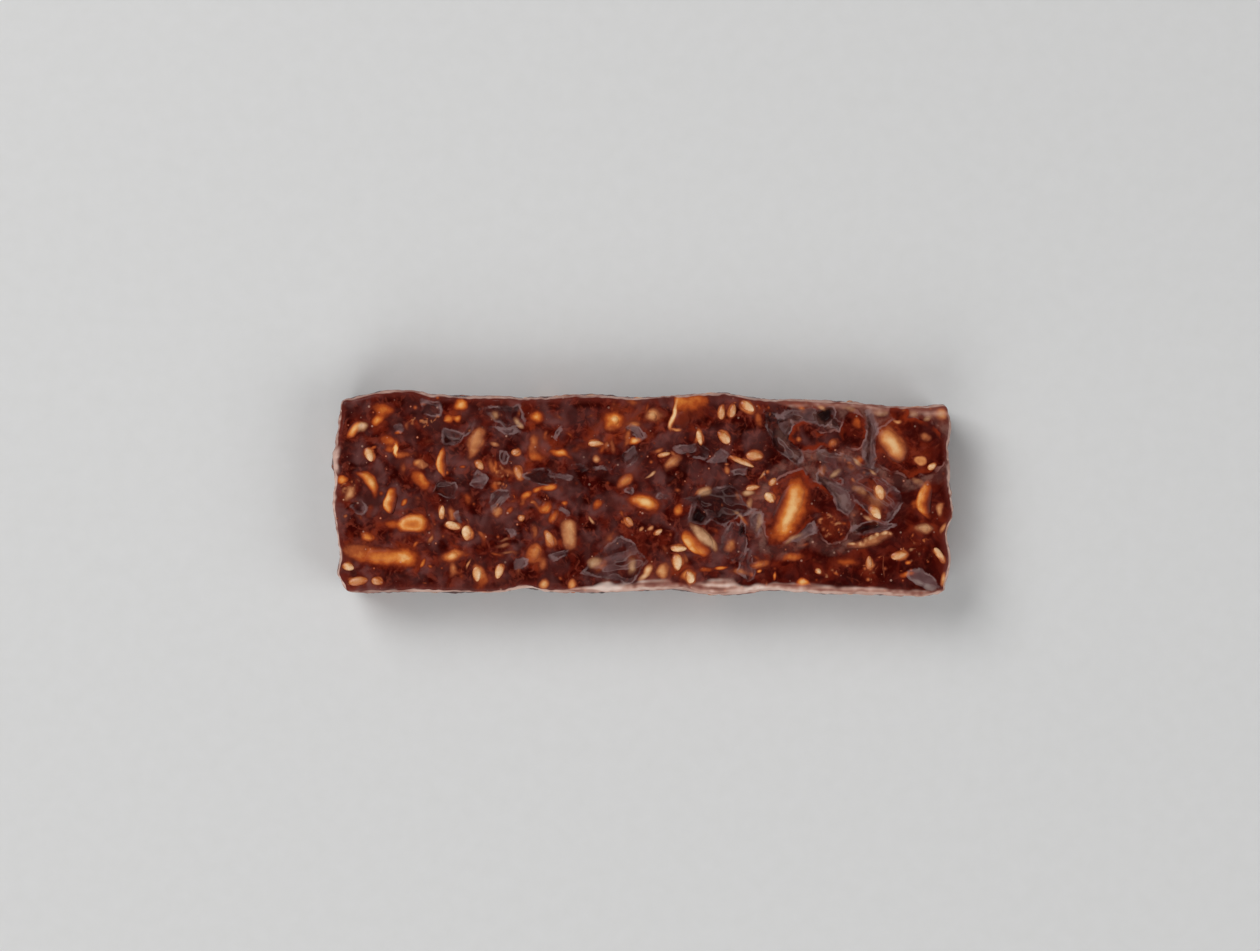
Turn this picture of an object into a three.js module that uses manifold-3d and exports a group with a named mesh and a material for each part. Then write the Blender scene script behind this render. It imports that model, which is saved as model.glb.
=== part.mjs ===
// A pressed chocolate and nut bar: one block of dark cocoa paste with sesame seeds and nut chips
// fused into it, and larger nut pieces that sit in sockets in its top.
// Millimetres, +Z up. X runs along the bar, and the origin is the middle of its underside.
import * as THREE from "three";
import { mergeVertices } from "three/addons/utils/BufferGeometryUtils.js";
import Module from "manifold-3d";

// Driving dimensions of the block
const LENGTH = 110;
const WIDTH = 36.6;
const HEIGHT = 11.8;
const EDGE_RADIUS = 1.1;
const CELLS = { x: 46, y: 15, z: 5 };
const END_CROWDING = 0.25; // how much closer the grid lines stand near an edge
const TOP_SWELL = 0.22; // height of the slow waves on the top
const SIDE_SWELL = 0.3; // the same on the side walls

// Sesame seeds, hulled
const SEED = { length: 2.9, width: 1.8, thickness: 1.0, proud: 0.3, taper: 0.35 };
const SEED_SECTIONS = { around: 5, along: 4 };

// Nut chips, which are coarse fragments
const CHIP = { longest: 3.6, shortest: 1.9, thickness: 1.6, proud: 0.3 };
const CHIP_SECTIONS = { around: 6, along: 4 };

// Nut pieces
const NUT_SECTIONS = { around: 11, along: 8 };
const SOCKET_GAP = 0.3; // clear space between a nut and the paste

// Side walls get seeds and chips at even steps along the wall
const WALL_STEP = 8.2;
const WALL_LEVELS = [0.3, 0.68, 0.46]; // shares of the height, taken in turn
const CHIP_EVERY = 4; // each fourth place holds a chip
const TURN_STEP = 137.5; // degrees from one piece to the next, the golden angle

// Colours of the paste and of nut pieces that lie bare, thinly smeared or under a film of paste
const PASTE_COLOUR = 0x4a1a12;
const BARE = 0xe0a868;
const SMEARED = 0xc87e3a;
const COVERED = 0x9c6a35;

// How far each edge lies from the middle, as [place along the edge, distance].
const EDGES = {
  back: [
    [-55, 16.6], [-46.5, 18.2], [-42.5, 18.3], [-37.5, 17.3], [-20, 17], [-8.5, 17.5], [-2, 17],
    [13.5, 17.7], [23, 16.7], [34, 16.4], [47, 15.3], [55, 15.6],
  ],
  front: [
    [-55, 17.6], [-42, 17.6], [-27, 17.6], [-22, 16.8], [-17, 17.6], [-6, 17.6], [5, 17],
    [13.5, 18.1], [25, 17.4], [36, 17.9], [51, 18.3], [55, 17.8],
  ],
  left: [[-18, 52.6], [-14.6, 54.1], [-11.8, 53.6], [-2, 54.7], [3, 54.5], [6, 55], [10, 54.3], [18, 53.4]],
  right: [[-18, 53.6], [-12, 54.5], [-7.5, 53.9], [-3.5, 55], [2.5, 54.5], [9.5, 54.2], [14, 54.6], [18, 54]],
};

// Hollows in the top that the pressing left open: middle, length, width, turn in degrees, depth.
const POCKETS = [
  { x: -17.8, y: 3, length: 6.2, width: 3.4, turn: -6, depth: 1.2 },
  { x: -33.8, y: 9.7, length: 4.6, width: 3.2, turn: 5, depth: 1 },
  { x: -35, y: 0.7, length: 4.4, width: 3.5, turn: 30, depth: 0.9 },
  { x: -24, y: 13.6, length: 8, width: 3.8, turn: -25, depth: 0.6 },
  { x: -25.4, y: -1.2, length: 5.4, width: 2.9, turn: 35, depth: 0.6 },
  { x: -4.2, y: -12.2, length: 12, width: 7.4, turn: 12, depth: 0.8 },
  { x: 14.2, y: -2, length: 12.5, width: 5.6, turn: 8, depth: 1 },
  { x: 8.9, y: 7.5, length: 5.6, width: 2.7, turn: -10, depth: 0.6 },
  { x: 25.2, y: 9.6, length: 12.5, width: 4.8, turn: -60, depth: 0.9 },
  { x: 29.6, y: 13.6, length: 10, width: 3.2, turn: -3, depth: 1 },
  { x: 40.3, y: 9.2, length: 12.5, width: 2.6, turn: 90, depth: 0.8 },
  { x: 35.6, y: 4.6, length: 12, width: 4.6, turn: -12, depth: 0.7 },
  { x: 34.2, y: -0.2, length: 9.4, width: 4.8, turn: -52, depth: 0.8 },
  { x: 41, y: -0.6, length: 12.5, width: 8, turn: -38, depth: 0.5 },
  { x: 40.6, y: -6.2, length: 8.4, width: 2.6, turn: 10, depth: 1.2 },
  { x: 16.2, y: -8.6, length: 8, width: 5.4, turn: 70, depth: 0.4 },
];

// Lumps of paste that stand up to the full height among the hollows.
const LUMPS = [
  { x: 29, y: 9.9, length: 6.4, width: 5.4, turn: -25 },
  { x: 33.4, y: 9.4, length: 6.4, width: 3.2, turn: 0 },
  { x: 37.2, y: 11, length: 6.8, width: 4.8, turn: 80 },
  { x: 47.2, y: 8.2, length: 12.8, width: 10.4, turn: 0 },
  { x: 25.8, y: -2.6, length: 13.6, width: 8.8, turn: 68 },
  { x: 31.4, y: -1.2, length: 7.2, width: 4.4, turn: -50 },
  { x: 33.6, y: -5.8, length: 6.2, width: 6, turn: 0 },
];

// Nut pieces that show in the top. crown and root are their reach above and below their widest
// section, which lies sink under the paste. bend bows them sideways. dip lowers the far end and
// roll the left side, in degrees.
const NUTS = [
  {
    name: "centre", colour: BARE, x: 25.4, y: -2.6, length: 12.4, width: 5.6, turn: 63,
    crown: 1.5, root: 2.6, sink: 1.1, roll: -6,
  },
  {
    name: "right", colour: BARE, x: 44.1, y: 8.6, length: 7.8, width: 4.6, turn: -58,
    crown: 1.3, root: 2.3, sink: 0.9,
  },
  {
    name: "oval", colour: SMEARED, x: -40.7, y: -5.4, length: 5.4, width: 3.6, turn: 2,
    crown: 0.7, root: 1.9, sink: 0.35,
  },
  {
    name: "long", colour: COVERED, x: -46.2, y: -11.2, length: 12.4, width: 4.2, turn: 2,
    crown: 1.4, root: 2.2, sink: 1.2, dip: -4,
  },
  {
    name: "chunk", colour: SMEARED, x: 8.2, y: 13.2, length: 6.4, width: 5.6, turn: 20,
    crown: 1.2, root: 2, sink: 1.2, dip: 12,
  },
  {
    name: "split", colour: SMEARED, x: 9.9, y: -8.3, length: 7, width: 4.2, turn: -50,
    crown: 0.8, root: 1.9, sink: 0.5, roll: 8,
  },
  {
    name: "middle", colour: BARE, x: 0.3, y: -1.8, length: 5.2, width: 2.8, turn: -13,
    crown: 0.9, root: 1.7, sink: 0.55,
  },
  {
    name: "crescent", colour: SMEARED, x: -48.5, y: 1.8, length: 5.2, width: 2, turn: -52,
    crown: 0.8, root: 1.6, sink: 0.5, bend: 0.8,
  },
  {
    name: "upright", colour: SMEARED, x: -35.2, y: 5.4, length: 5.4, width: 2, turn: 90,
    crown: 0.8, root: 1.6, sink: 0.5, bend: 0.5,
  },
  {
    name: "olive", colour: COVERED, x: -29.5, y: 8.9, length: 6, width: 2.7, turn: 70,
    crown: 0.9, root: 1.7, sink: 0.7,
  },
  {
    name: "block", colour: COVERED, x: -13.2, y: -7.5, length: 5.2, width: 2.9, turn: 90,
    crown: 0.9, root: 1.8, sink: 0.7,
  },
  {
    name: "rim", colour: SMEARED, x: 50.4, y: -1.2, length: 6, width: 2.5, turn: 84,
    crown: 0.8, root: 1.7, sink: 0.5, bend: 0.6,
  },
  {
    name: "drop", colour: SMEARED, x: -44.2, y: -1.9, length: 4.2, width: 2.1, turn: 78,
    crown: 0.8, root: 1.6, sink: 0.45, bend: 0.4,
  },
  {
    name: "corner", colour: BARE, x: -50.8, y: 11.3, length: 4, width: 2.3, turn: 48,
    crown: 0.8, root: 1.6, sink: 0.45,
  },
  {
    name: "flake", colour: COVERED, x: 39.9, y: -8.5, length: 8.2, width: 1.8, turn: 16,
    crown: 0.9, root: 1.4, sink: 0.4, bend: -0.3,
  },
];

// Sesame seeds on the top, as [x, y, turn in degrees]
const TOP_SEEDS = [
  [-48.3, 6.8, -70], [-33.7, -5.9, -25], [-31.1, -7.2, -80], [-29.3, -14.2, -85], [-25.3, -13.8, 75],
  [-16.2, -8.1, -60], [-8.3, 8.7, 0], [-21.9, 3.7, 80], [-28.8, 4.9, -60], [13.7, 14.4, 80],
  [15.9, 14.6, 75], [18.6, 15.2, -35], [10.1, 9.9, -80], [14.3, 9.8, -45], [19.6, 6.7, -5],
  [17.3, 5.4, -25], [19.2, 0.7, 20], [21.9, -0.7, -55], [6.2, -9.8, 0], [6, -12.2, -85],
  [8.4, -15.1, -65], [42.1, 0.2, -70], [41.1, -3.8, -65], [45.4, -10.9, 15], [52, -11.2, -55],
  [50.6, 4.6, 30], [-51.6, -13, -20], [-50.1, -15.4, 20], [-46.9, -15.4, 0], [-35.4, -3.2, 80],
  [3.7, 6.8, 20], [-22.2, 7.2, 0], [-2.2, -5.1, -30], [2.4, -6.7, 40], [22.8, 2.6, 60],
  [-21.3, -4.4, 35], [40.1, -12.2, 88], [31, -13.8, -40],
];

// Nut chips on the top, as [x, y, turn in degrees]
const TOP_CHIPS = [
  [-4.9, 12.8, 20], [-17.2, -2.4, 60], [-15.6, -4.1, 80], [5.4, 5.4, 40], [1.7, 13.6, 0],
  [-48.6, -7.7, -10], [-33.5, -11.2, 18], [-3.1, 2.2, 45], [33.8, 8.8, -8], [49.7, -6.2, 0],
  [-18.9, -10.8, 70], [20.5, -12.5, 10],
];

const wasm = await Module();
wasm.setup();

const radians = THREE.MathUtils.degToRad;
const smooth = THREE.MathUtils.smoothstep;

// Slow, uneven waves between about -1 and 1.
function waves(x, y) {
  const across = Math.sin(0.21 * x + 0.9 * Math.sin(0.17 * y)) * Math.cos(0.31 * y - 0.4);
  const fine = Math.sin(0.53 * x - 0.37 * y + 1.3) * 0.45;
  return 0.7 * across + fine;
}

// Distance of an edge from the middle at one place along it, eased between its listed places.
function edgeAt(places, along) {
  const last = places.length - 1;
  if (along <= places[0][0]) return places[0][1];
  if (along >= places[last][0]) return places[last][1];
  const next = places.findIndex(([place]) => place > along);
  const [from, start] = places[next - 1];
  const [to, end] = places[next];
  return THREE.MathUtils.lerp(start, end, smooth(along, from, to));
}

// How far out a place lies in a turned oval: 0 in its middle, 1 on its outline.
function reachIn(oval, x, y) {
  const turn = radians(oval.turn);
  const along = (x - oval.x) * Math.cos(turn) + (y - oval.y) * Math.sin(turn);
  const across = (y - oval.y) * Math.cos(turn) - (x - oval.x) * Math.sin(turn);
  return Math.hypot(along / (oval.length / 2), across / (oval.width / 2));
}

// Depth of the hollows under the top at one place.
function hollowAt(x, y) {
  const depths = POCKETS.map((p) => p.depth * (1 - smooth(reachIn(p, x, y), 0.35, 1.15)));
  const beyond = Math.min(...LUMPS.map((lump) => reachIn(lump, x, y)));
  return Math.max(0, ...depths) * smooth(beyond, 0.85, 1.2);
}

const topAt = (x, y) => HEIGHT + TOP_SWELL * (waves(x, y) - 1) - hollowAt(x, y);

// A grid coordinate from -1 to 1, moved so that lines stand closer at both ends.
const crowded = (t) => t * (1 + END_CROWDING * (1 - t * t));

// A point on a box's surface, brought in to a rounded box.
function rounded(point, half) {
  const inner = new THREE.Vector3(
    THREE.MathUtils.clamp(point.x, EDGE_RADIUS - half.x, half.x - EDGE_RADIUS),
    THREE.MathUtils.clamp(point.y, EDGE_RADIUS - half.y, half.y - EDGE_RADIUS),
    THREE.MathUtils.clamp(point.z, EDGE_RADIUS - half.z, half.z - EDGE_RADIUS),
  );
  const out = point.clone().sub(inner).setLength(EDGE_RADIUS);
  return inner.add(out);
}

// The paste block: a gridded box with rounded edges, an uneven outline and a top with hollows.
function blockGeometry() {
  const box = new THREE.BoxGeometry(2, 2, 2, CELLS.x, CELLS.y, CELLS.z);
  const half = new THREE.Vector3(LENGTH / 2, WIDTH / 2, HEIGHT / 2);
  const place = box.getAttribute("position");
  for (let i = 0; i < place.count; i += 1) {
    const grid = new THREE.Vector3().fromBufferAttribute(place, i);
    const onBox = new THREE.Vector3(crowded(grid.x), crowded(grid.y), crowded(grid.z)).multiply(half);
    const p = rounded(onBox, half);
    const x = p.x * (edgeAt(p.x < 0 ? EDGES.left : EDGES.right, p.y) / half.x);
    const y = p.y * (edgeAt(p.y < 0 ? EDGES.front : EDGES.back, p.x) / half.y);
    const lift = p.z / HEIGHT + 0.5;
    const wall = SIDE_SWELL * Math.sin(Math.PI * lift) * waves(2.3 * x + 40 * lift, 2.3 * y);
    const wallShare = new THREE.Vector2(grid.x ** 8, grid.y ** 8);
    const z = lift * topAt(x, y);
    place.setXYZ(i, x + Math.sign(x) * wall * wallShare.x, y + Math.sign(y) * wall * wallShare.y, z);
  }
  return box;
}

// A seed along X: an oval lens, narrower towards its tip.
function seedGeometry() {
  const ball = new THREE.SphereGeometry(0.5, SEED_SECTIONS.around, SEED_SECTIONS.along).rotateZ(Math.PI / 2);
  const place = ball.getAttribute("position");
  for (let i = 0; i < place.count; i += 1) {
    const narrow = 1 - SEED.taper * (place.getX(i) + 0.5);
    place.setXYZ(
      i,
      place.getX(i) * SEED.length,
      place.getY(i) * SEED.width * narrow,
      place.getZ(i) * SEED.thickness,
    );
  }
  return ball;
}

// A chip along X, a lump with one blunt end. share runs from 0, the shortest, to 1, the longest.
function chipGeometry(share) {
  const length = THREE.MathUtils.lerp(CHIP.shortest, CHIP.longest, share);
  const ball = new THREE.SphereGeometry(0.5, CHIP_SECTIONS.around, CHIP_SECTIONS.along).rotateZ(Math.PI / 2);
  const blunt = 0.25;
  const place = ball.getAttribute("position");
  for (let i = 0; i < place.count; i += 1) {
    const wide = 1 + blunt * place.getX(i);
    place.setXYZ(
      i,
      place.getX(i) * length,
      place.getY(i) * CHIP.shortest * wide,
      place.getZ(i) * CHIP.thickness,
    );
  }
  return ball;
}

// A nut piece along X, larger all round by grow.
function nutGeometry(nut, grow) {
  const ball = new THREE.SphereGeometry(1, NUT_SECTIONS.around, NUT_SECTIONS.along).rotateZ(Math.PI / 2);
  const reach = { x: nut.length / 2 + grow, y: nut.width / 2 + grow };
  const bluntness = 0.8;
  const place = ball.getAttribute("position");
  for (let i = 0; i < place.count; i += 1) {
    const x = Math.sign(place.getX(i)) * Math.abs(place.getX(i)) ** bluntness;
    const z = place.getZ(i) * ((place.getZ(i) > 0 ? nut.crown : nut.root) + grow);
    place.setXYZ(i, x * reach.x, place.getY(i) * reach.y + (nut.bend ?? 0) * (0.5 - x * x), z);
  }
  return ball;
}

// The transform that lays a piece at a place in the top, sunk by sink.
function topPlace(x, y, turn, sink, dip = 0, roll = 0) {
  const turned = new THREE.Euler(radians(roll), radians(dip), radians(turn), "ZYX");
  const place = new THREE.Matrix4().makeRotationFromEuler(turned);
  return place.setPosition(x, y, topAt(x, y) - sink);
}

const nutPlace = (nut) => topPlace(nut.x, nut.y, nut.turn, nut.sink, nut.dip, nut.roll);

// The transform that sets a piece into a side wall, its flat side facing out.
// facing is the wall's outward direction in degrees from +X.
function wallPlace(x, y, z, facing, turn) {
  const place = new THREE.Matrix4().makeTranslation(x, y, z);
  place.multiply(new THREE.Matrix4().makeRotationZ(radians(facing)));
  place.multiply(new THREE.Matrix4().makeRotationY(Math.PI / 2));
  return place.multiply(new THREE.Matrix4().makeRotationZ(radians(turn)));
}

// A closed geometry as a solid that can be joined and cut.
function solidOf(geometry, matrix = new THREE.Matrix4()) {
  const bare = geometry.clone().applyMatrix4(matrix);
  bare.deleteAttribute("normal");
  bare.deleteAttribute("uv");
  const merged = mergeVertices(bare, 1e-4);
  const vertProperties = new Float32Array(merged.getAttribute("position").array);
  const triVerts = new Uint32Array(merged.index.array);
  return new wasm.Manifold(new wasm.Mesh({ numProp: 3, vertProperties, triVerts }));
}

function geometryOf(solid) {
  const mesh = solid.getMesh();
  const geometry = new THREE.BufferGeometry();
  geometry.setAttribute("position", new THREE.BufferAttribute(mesh.vertProperties, 3));
  geometry.setIndex(new THREE.BufferAttribute(mesh.triVerts, 1));
  geometry.computeVertexNormals();
  return geometry;
}

// Seeds and chips of the top, as solids.
function topPieces() {
  const seedSink = SEED.thickness / 2 - SEED.proud;
  const chipSink = CHIP.thickness / 2 - CHIP.proud;
  const seeds = TOP_SEEDS.map(([x, y, turn]) => solidOf(seedGeometry(), topPlace(x, y, turn, seedSink)));
  const chips = TOP_CHIPS.map(([x, y, turn], i) =>
    solidOf(chipGeometry((i % 4) / 3), topPlace(x, y, turn, chipSink)),
  );
  return [...seeds, ...chips];
}

// Seeds and chips of the four side walls, at even steps round the bar.
function wallPieces() {
  const walls = [
    { facing: -90, run: LENGTH, at: (s) => [s, -edgeAt(EDGES.front, s)] },
    { facing: 0, run: WIDTH, at: (s) => [edgeAt(EDGES.right, s), s] },
    { facing: 90, run: LENGTH, at: (s) => [-s, edgeAt(EDGES.back, -s)] },
    { facing: 180, run: WIDTH, at: (s) => [-edgeAt(EDGES.left, -s), -s] },
  ];
  const pieces = [];
  for (const wall of walls) {
    const count = Math.floor(wall.run / WALL_STEP) - 1;
    for (let i = 0; i < count; i += 1) {
      const n = pieces.length;
      const [x, y] = wall.at((i - (count - 1) / 2) * WALL_STEP);
      const z = HEIGHT * WALL_LEVELS[n % WALL_LEVELS.length];
      const chip = n % CHIP_EVERY === 0;
      const kind = chip ? CHIP : SEED;
      const inward = kind.thickness / 2 - kind.proud;
      const facing = radians(wall.facing);
      const place = wallPlace(
        x - inward * Math.cos(facing),
        y - inward * Math.sin(facing),
        z,
        wall.facing,
        n * TURN_STEP,
      );
      pieces.push(solidOf(chip ? chipGeometry((n % 4) / 3) : seedGeometry(), place));
    }
  }
  return pieces;
}

// The paste with its seeds and chips fused on and a socket cut for each nut.
function barMesh() {
  const sockets = NUTS.map((nut) => solidOf(nutGeometry(nut, SOCKET_GAP), nutPlace(nut)));
  let bar = solidOf(blockGeometry());
  for (const piece of [...topPieces(), ...wallPieces()]) bar = bar.add(piece);
  for (const socket of sockets) bar = bar.subtract(socket);
  const paste = new THREE.MeshStandardMaterial({ color: PASTE_COLOUR, roughness: 0.3, metalness: 0 });
  const mesh = new THREE.Mesh(geometryOf(bar), paste);
  mesh.name = "bar";
  return mesh;
}

function nutMesh(nut) {
  const flesh = new THREE.MeshStandardMaterial({ color: nut.colour, roughness: 0.5, metalness: 0 });
  const mesh = new THREE.Mesh(nutGeometry(nut, 0), flesh);
  mesh.name = `nut_${nut.name}`;
  mesh.applyMatrix4(nutPlace(nut));
  return mesh;
}

const model = new THREE.Group();
model.name = "chocolate_nut_bar";
model.add(barMesh());
for (const nut of NUTS) model.add(nutMesh(nut));

export default model;
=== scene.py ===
"""The looks of a pressed chocolate and nut bar: glossy dark paste, nut pieces, chips and sesame seeds.

Shapes are worked out in millimetres, and each mesh is written in metres.
"""
import itertools
import math
from collections import namedtuple

import bmesh
import bpy
import numpy as np
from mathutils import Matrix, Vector
from mathutils.geometry import delaunay_2d_cdt


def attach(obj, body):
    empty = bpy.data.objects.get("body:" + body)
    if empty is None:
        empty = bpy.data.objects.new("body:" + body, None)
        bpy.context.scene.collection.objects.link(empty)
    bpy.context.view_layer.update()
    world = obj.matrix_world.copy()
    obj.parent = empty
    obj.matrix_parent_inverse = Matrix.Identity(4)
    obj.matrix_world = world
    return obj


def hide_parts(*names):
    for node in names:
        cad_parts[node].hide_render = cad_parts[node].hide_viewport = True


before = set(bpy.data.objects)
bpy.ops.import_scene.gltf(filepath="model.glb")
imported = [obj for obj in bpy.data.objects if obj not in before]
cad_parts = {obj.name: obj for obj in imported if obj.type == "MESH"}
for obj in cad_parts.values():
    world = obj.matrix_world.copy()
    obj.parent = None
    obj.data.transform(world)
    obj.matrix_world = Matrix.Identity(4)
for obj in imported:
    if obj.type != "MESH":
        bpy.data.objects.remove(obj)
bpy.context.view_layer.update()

MM = 0.001

# The paste block
LENGTH = 110.0
WIDTH = 36.6
HEIGHT = 11.8
HALF = np.array([LENGTH, WIDTH, HEIGHT]) / 2
EDGE_RADIUS = 1.1
CELLS_ALONG = 440
CELLS_ACROSS = 146
CELLS_UP = 24
UNDER_STEP = 1.0  # spacing of the points inside the underside
UNDER_MARGIN = 1.5  # how far these keep from its ends and sides
TOP_SWELL = 0.22
SIDE_SWELL = 0.3
RAGGED = 0.22  # how far the outline strays from its smooth course
WALL_LEAN = 0.4  # how far the walls come in towards the underside
END_FADE = 40  # powers that keep the walls' unevenness off the top
SIDE_FADE = 20
LEFT_BULGE = 6.4  # where the left edge is widest
FAR = 9.0  # further than any outline or face matters
NEAR = 3.0  # how far from an outline or a face its colours reach

# How far each edge lies from the middle, as (place along the edge, distance)
EDGES = {
    "back": [
        (-55, 16.6), (-46.5, 18.2), (-42.5, 18.3), (-37.5, 17.3), (-20, 17), (-8.5, 17.5), (-2, 17),
        (13.5, 17.7), (23, 16.7), (34, 16.4), (47, 15.3), (55, 15.6),
    ],
    "front": [
        (-55, 17.6), (-42, 17.6), (-27, 17.6), (-22, 16.8), (-17, 17.6), (-6, 17.6), (5, 17),
        (13.5, 18.1), (25, 17.4), (36, 17.9), (51, 18.3), (55, 17.8),
    ],
    "left": [
        (-18, 52.6), (-14.6, 54.1), (-11.8, 53.6), (-2, 54.7), (3, 54.5), (6, 55), (10, 54.3), (18, 53.4),
    ],
    "right": [
        (-18, 53.6), (-12, 54.5), (-7.5, 53.9), (-3.5, 55), (2.5, 54.5), (9.5, 54.2), (14, 54.6), (18, 54),
    ],
}

# Hollows that the pressing left open. grey is how pale the painted reflection over them looks, 0 for a dark
# one in painted shade and 1 or more for a pale one, and veil is how well it hides the paste in them, from 0
# to 1.
Hollow = namedtuple("Hollow", "x y length width turn depth grey veil", defaults=(0.9,))
PATCH_SIDES = 7
HOLLOWS = [Hollow(*row) for row in (
    (-37.3, 15.2, 4.4, 3, -20, 0.15, 0.9), (-43, 11.3, 1.7, 1.3, 0, 0.1, 0.9),
    (-33.8, 9.7, 4.6, 3.2, 5, 1, 0.25), (-30.6, 11.8, 3.4, 1.2, 55, 0.4, 0.6),
    (-49.9, -2.7, 3.2, 2.6, 0, 0.3, 0.35), (-35, 0.7, 4.4, 3.5, 30, 0.9, 0.25),
    (-28.8, 2.2, 3.5, 2.9, 10, 0.2, 0.85), (-24.4, 6.4, 2.5, 2.2, 70, 0.2, 0.8),
    (-25.4, -1.2, 5.4, 2.9, 35, 0.6, 0.6), (-17.8, 3, 6.2, 3.4, -6, 1.2, 0.2),
    (-14.4, 3.1, 3.2, 0.9, -18, 0.4, 0.7), (-24, 13.6, 8, 3.8, -25, 0.6, 0.5, 0.6),
    (-23.8, 11.2, 4.6, 0.9, -10, 0.2, 0.9), (-10.9, 4.7, 2.2, 1.4, 0, 0.15, 0.85),
    (-7.4, 4.3, 3.2, 0.9, 0, 0.15, 0.9), (-2, 6.4, 4.2, 2.7, 45, 0.4, 0.6),
    (-0.9, 10.6, 3.6, 1.8, -35, 0.3, 0.75), (-2.6, 0.3, 1.5, 1.4, 0, 0.1, 0.9),
    (-14.7, 10.6, 1.9, 1, 60, 0.1, 0.8), (-23.5, -6.7, 1.8, 1.3, -20, 0.1, 0.8),
    (-14.1, -3.3, 2, 0.9, -40, 0.1, 0.8), (-32.3, -4.2, 2.2, 1, -50, 0.1, 0.7),
    (-14.7, -10.8, 3, 2, 20, 0.2, 0.8), (-21.2, -12.3, 3.2, 2, 10, 0.2, 0.5),
    (-4.2, -12.2, 12, 7.4, 12, 0.8, 0.65, 0.75), (8.9, 7.5, 5.6, 2.7, -10, 0.6, 0.4),
    (13.9, 6.6, 3.8, 1.9, 15, 0.5, 0.5), (3.9, -0.8, 2.5, 1.6, -15, 0.15, 0.7),
    (17.3, 3.7, 2.8, 1.5, 10, 0.3, 0.4), (14.2, -2, 12.5, 5.6, -8, 1, 0.05),
    (10.3, -3.9, 4.4, 3.2, -20, 1.5, 0), (17.7, -6.8, 3.4, 1.9, 80, 1.2, 0.05),
    (9, -2.6, 4.2, 1.2, 70, 0.3, 1, 0.7), (16.2, -8.6, 8, 5.4, 70, 0.4, 0.7, 0.45),
    (18.6, -12.6, 6, 3, 80, 0.2, 0.8, 0.4), (25.2, 9.6, 12.5, 4.8, -60, 0.9, 0.2),
    (28.4, 13.7, 8.8, 3, -3, 0.8, 0.5), (32.4, 13.5, 3.6, 3.2, -20, 1.4, 0),
    (34.6, 11.8, 4, 1.8, -30, 1, 0.1), (40.3, 9.2, 12.5, 2.6, 90, 0.8, 0.6),
    (35.6, 4.6, 12, 4.6, -12, 0.7, 0.6, 0.6), (34.2, -0.2, 9.4, 4.8, -52, 0.8, 0.6, 0.75),
    (41, -0.6, 12.5, 8, -38, 0.5, 0.6, 0.5), (39.2, 4.4, 7.2, 0.6, -33, 0.9, 0),
    (40.6, -6.2, 8.4, 2.4, 10, 1.2, 0.1), (28.4, -7.2, 4.8, 2.4, 40, 0.5, 0.75),
    (20.4, -5, 4.6, 1.6, 82, 0.4, 0.8, 0.6), (49.7, -15.3, 6.4, 3.4, -38, 0.15, 2, 0.7),
)]

# Smooth wet lumps of paste that stand up to the full height among the hollows
Lump = namedtuple("Lump", "x y length width turn")
LUMPS = [Lump(*row) for row in (
    (29, 9.9, 6.4, 5.4, -25), (33.4, 9.4, 6.4, 3.2, 0), (37.2, 11, 6.8, 4.8, 80), (47.2, 8.2, 12.8, 10.4, 0),
    (45.2, 14.4, 4.2, 3.2, 0), (25.8, -2.6, 13.6, 8.8, 68), (31.4, -1.2, 7.2, 4.4, -50),
    (33.6, -5.8, 6.2, 6, 0),
)]

# What shows through the paste. film is the paste over a piece's middle, fall how much more lies over
# its outline, edge how abruptly that comes, lean and tilt what its far end and its left side have over
# its middle, bow how far it bends sideways, core what its very middle has over the rest, dull how tan
# rather than golden it is, and square how blunt its ends are.
Sunk = namedtuple(
    "Sunk",
    "x y length width turn film fall edge lean tilt bow core dull square",
    defaults=(1.2, 2.2, 0.0, 0.0, 0.0, 0.0, 0.0, 0.0),
)
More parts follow.
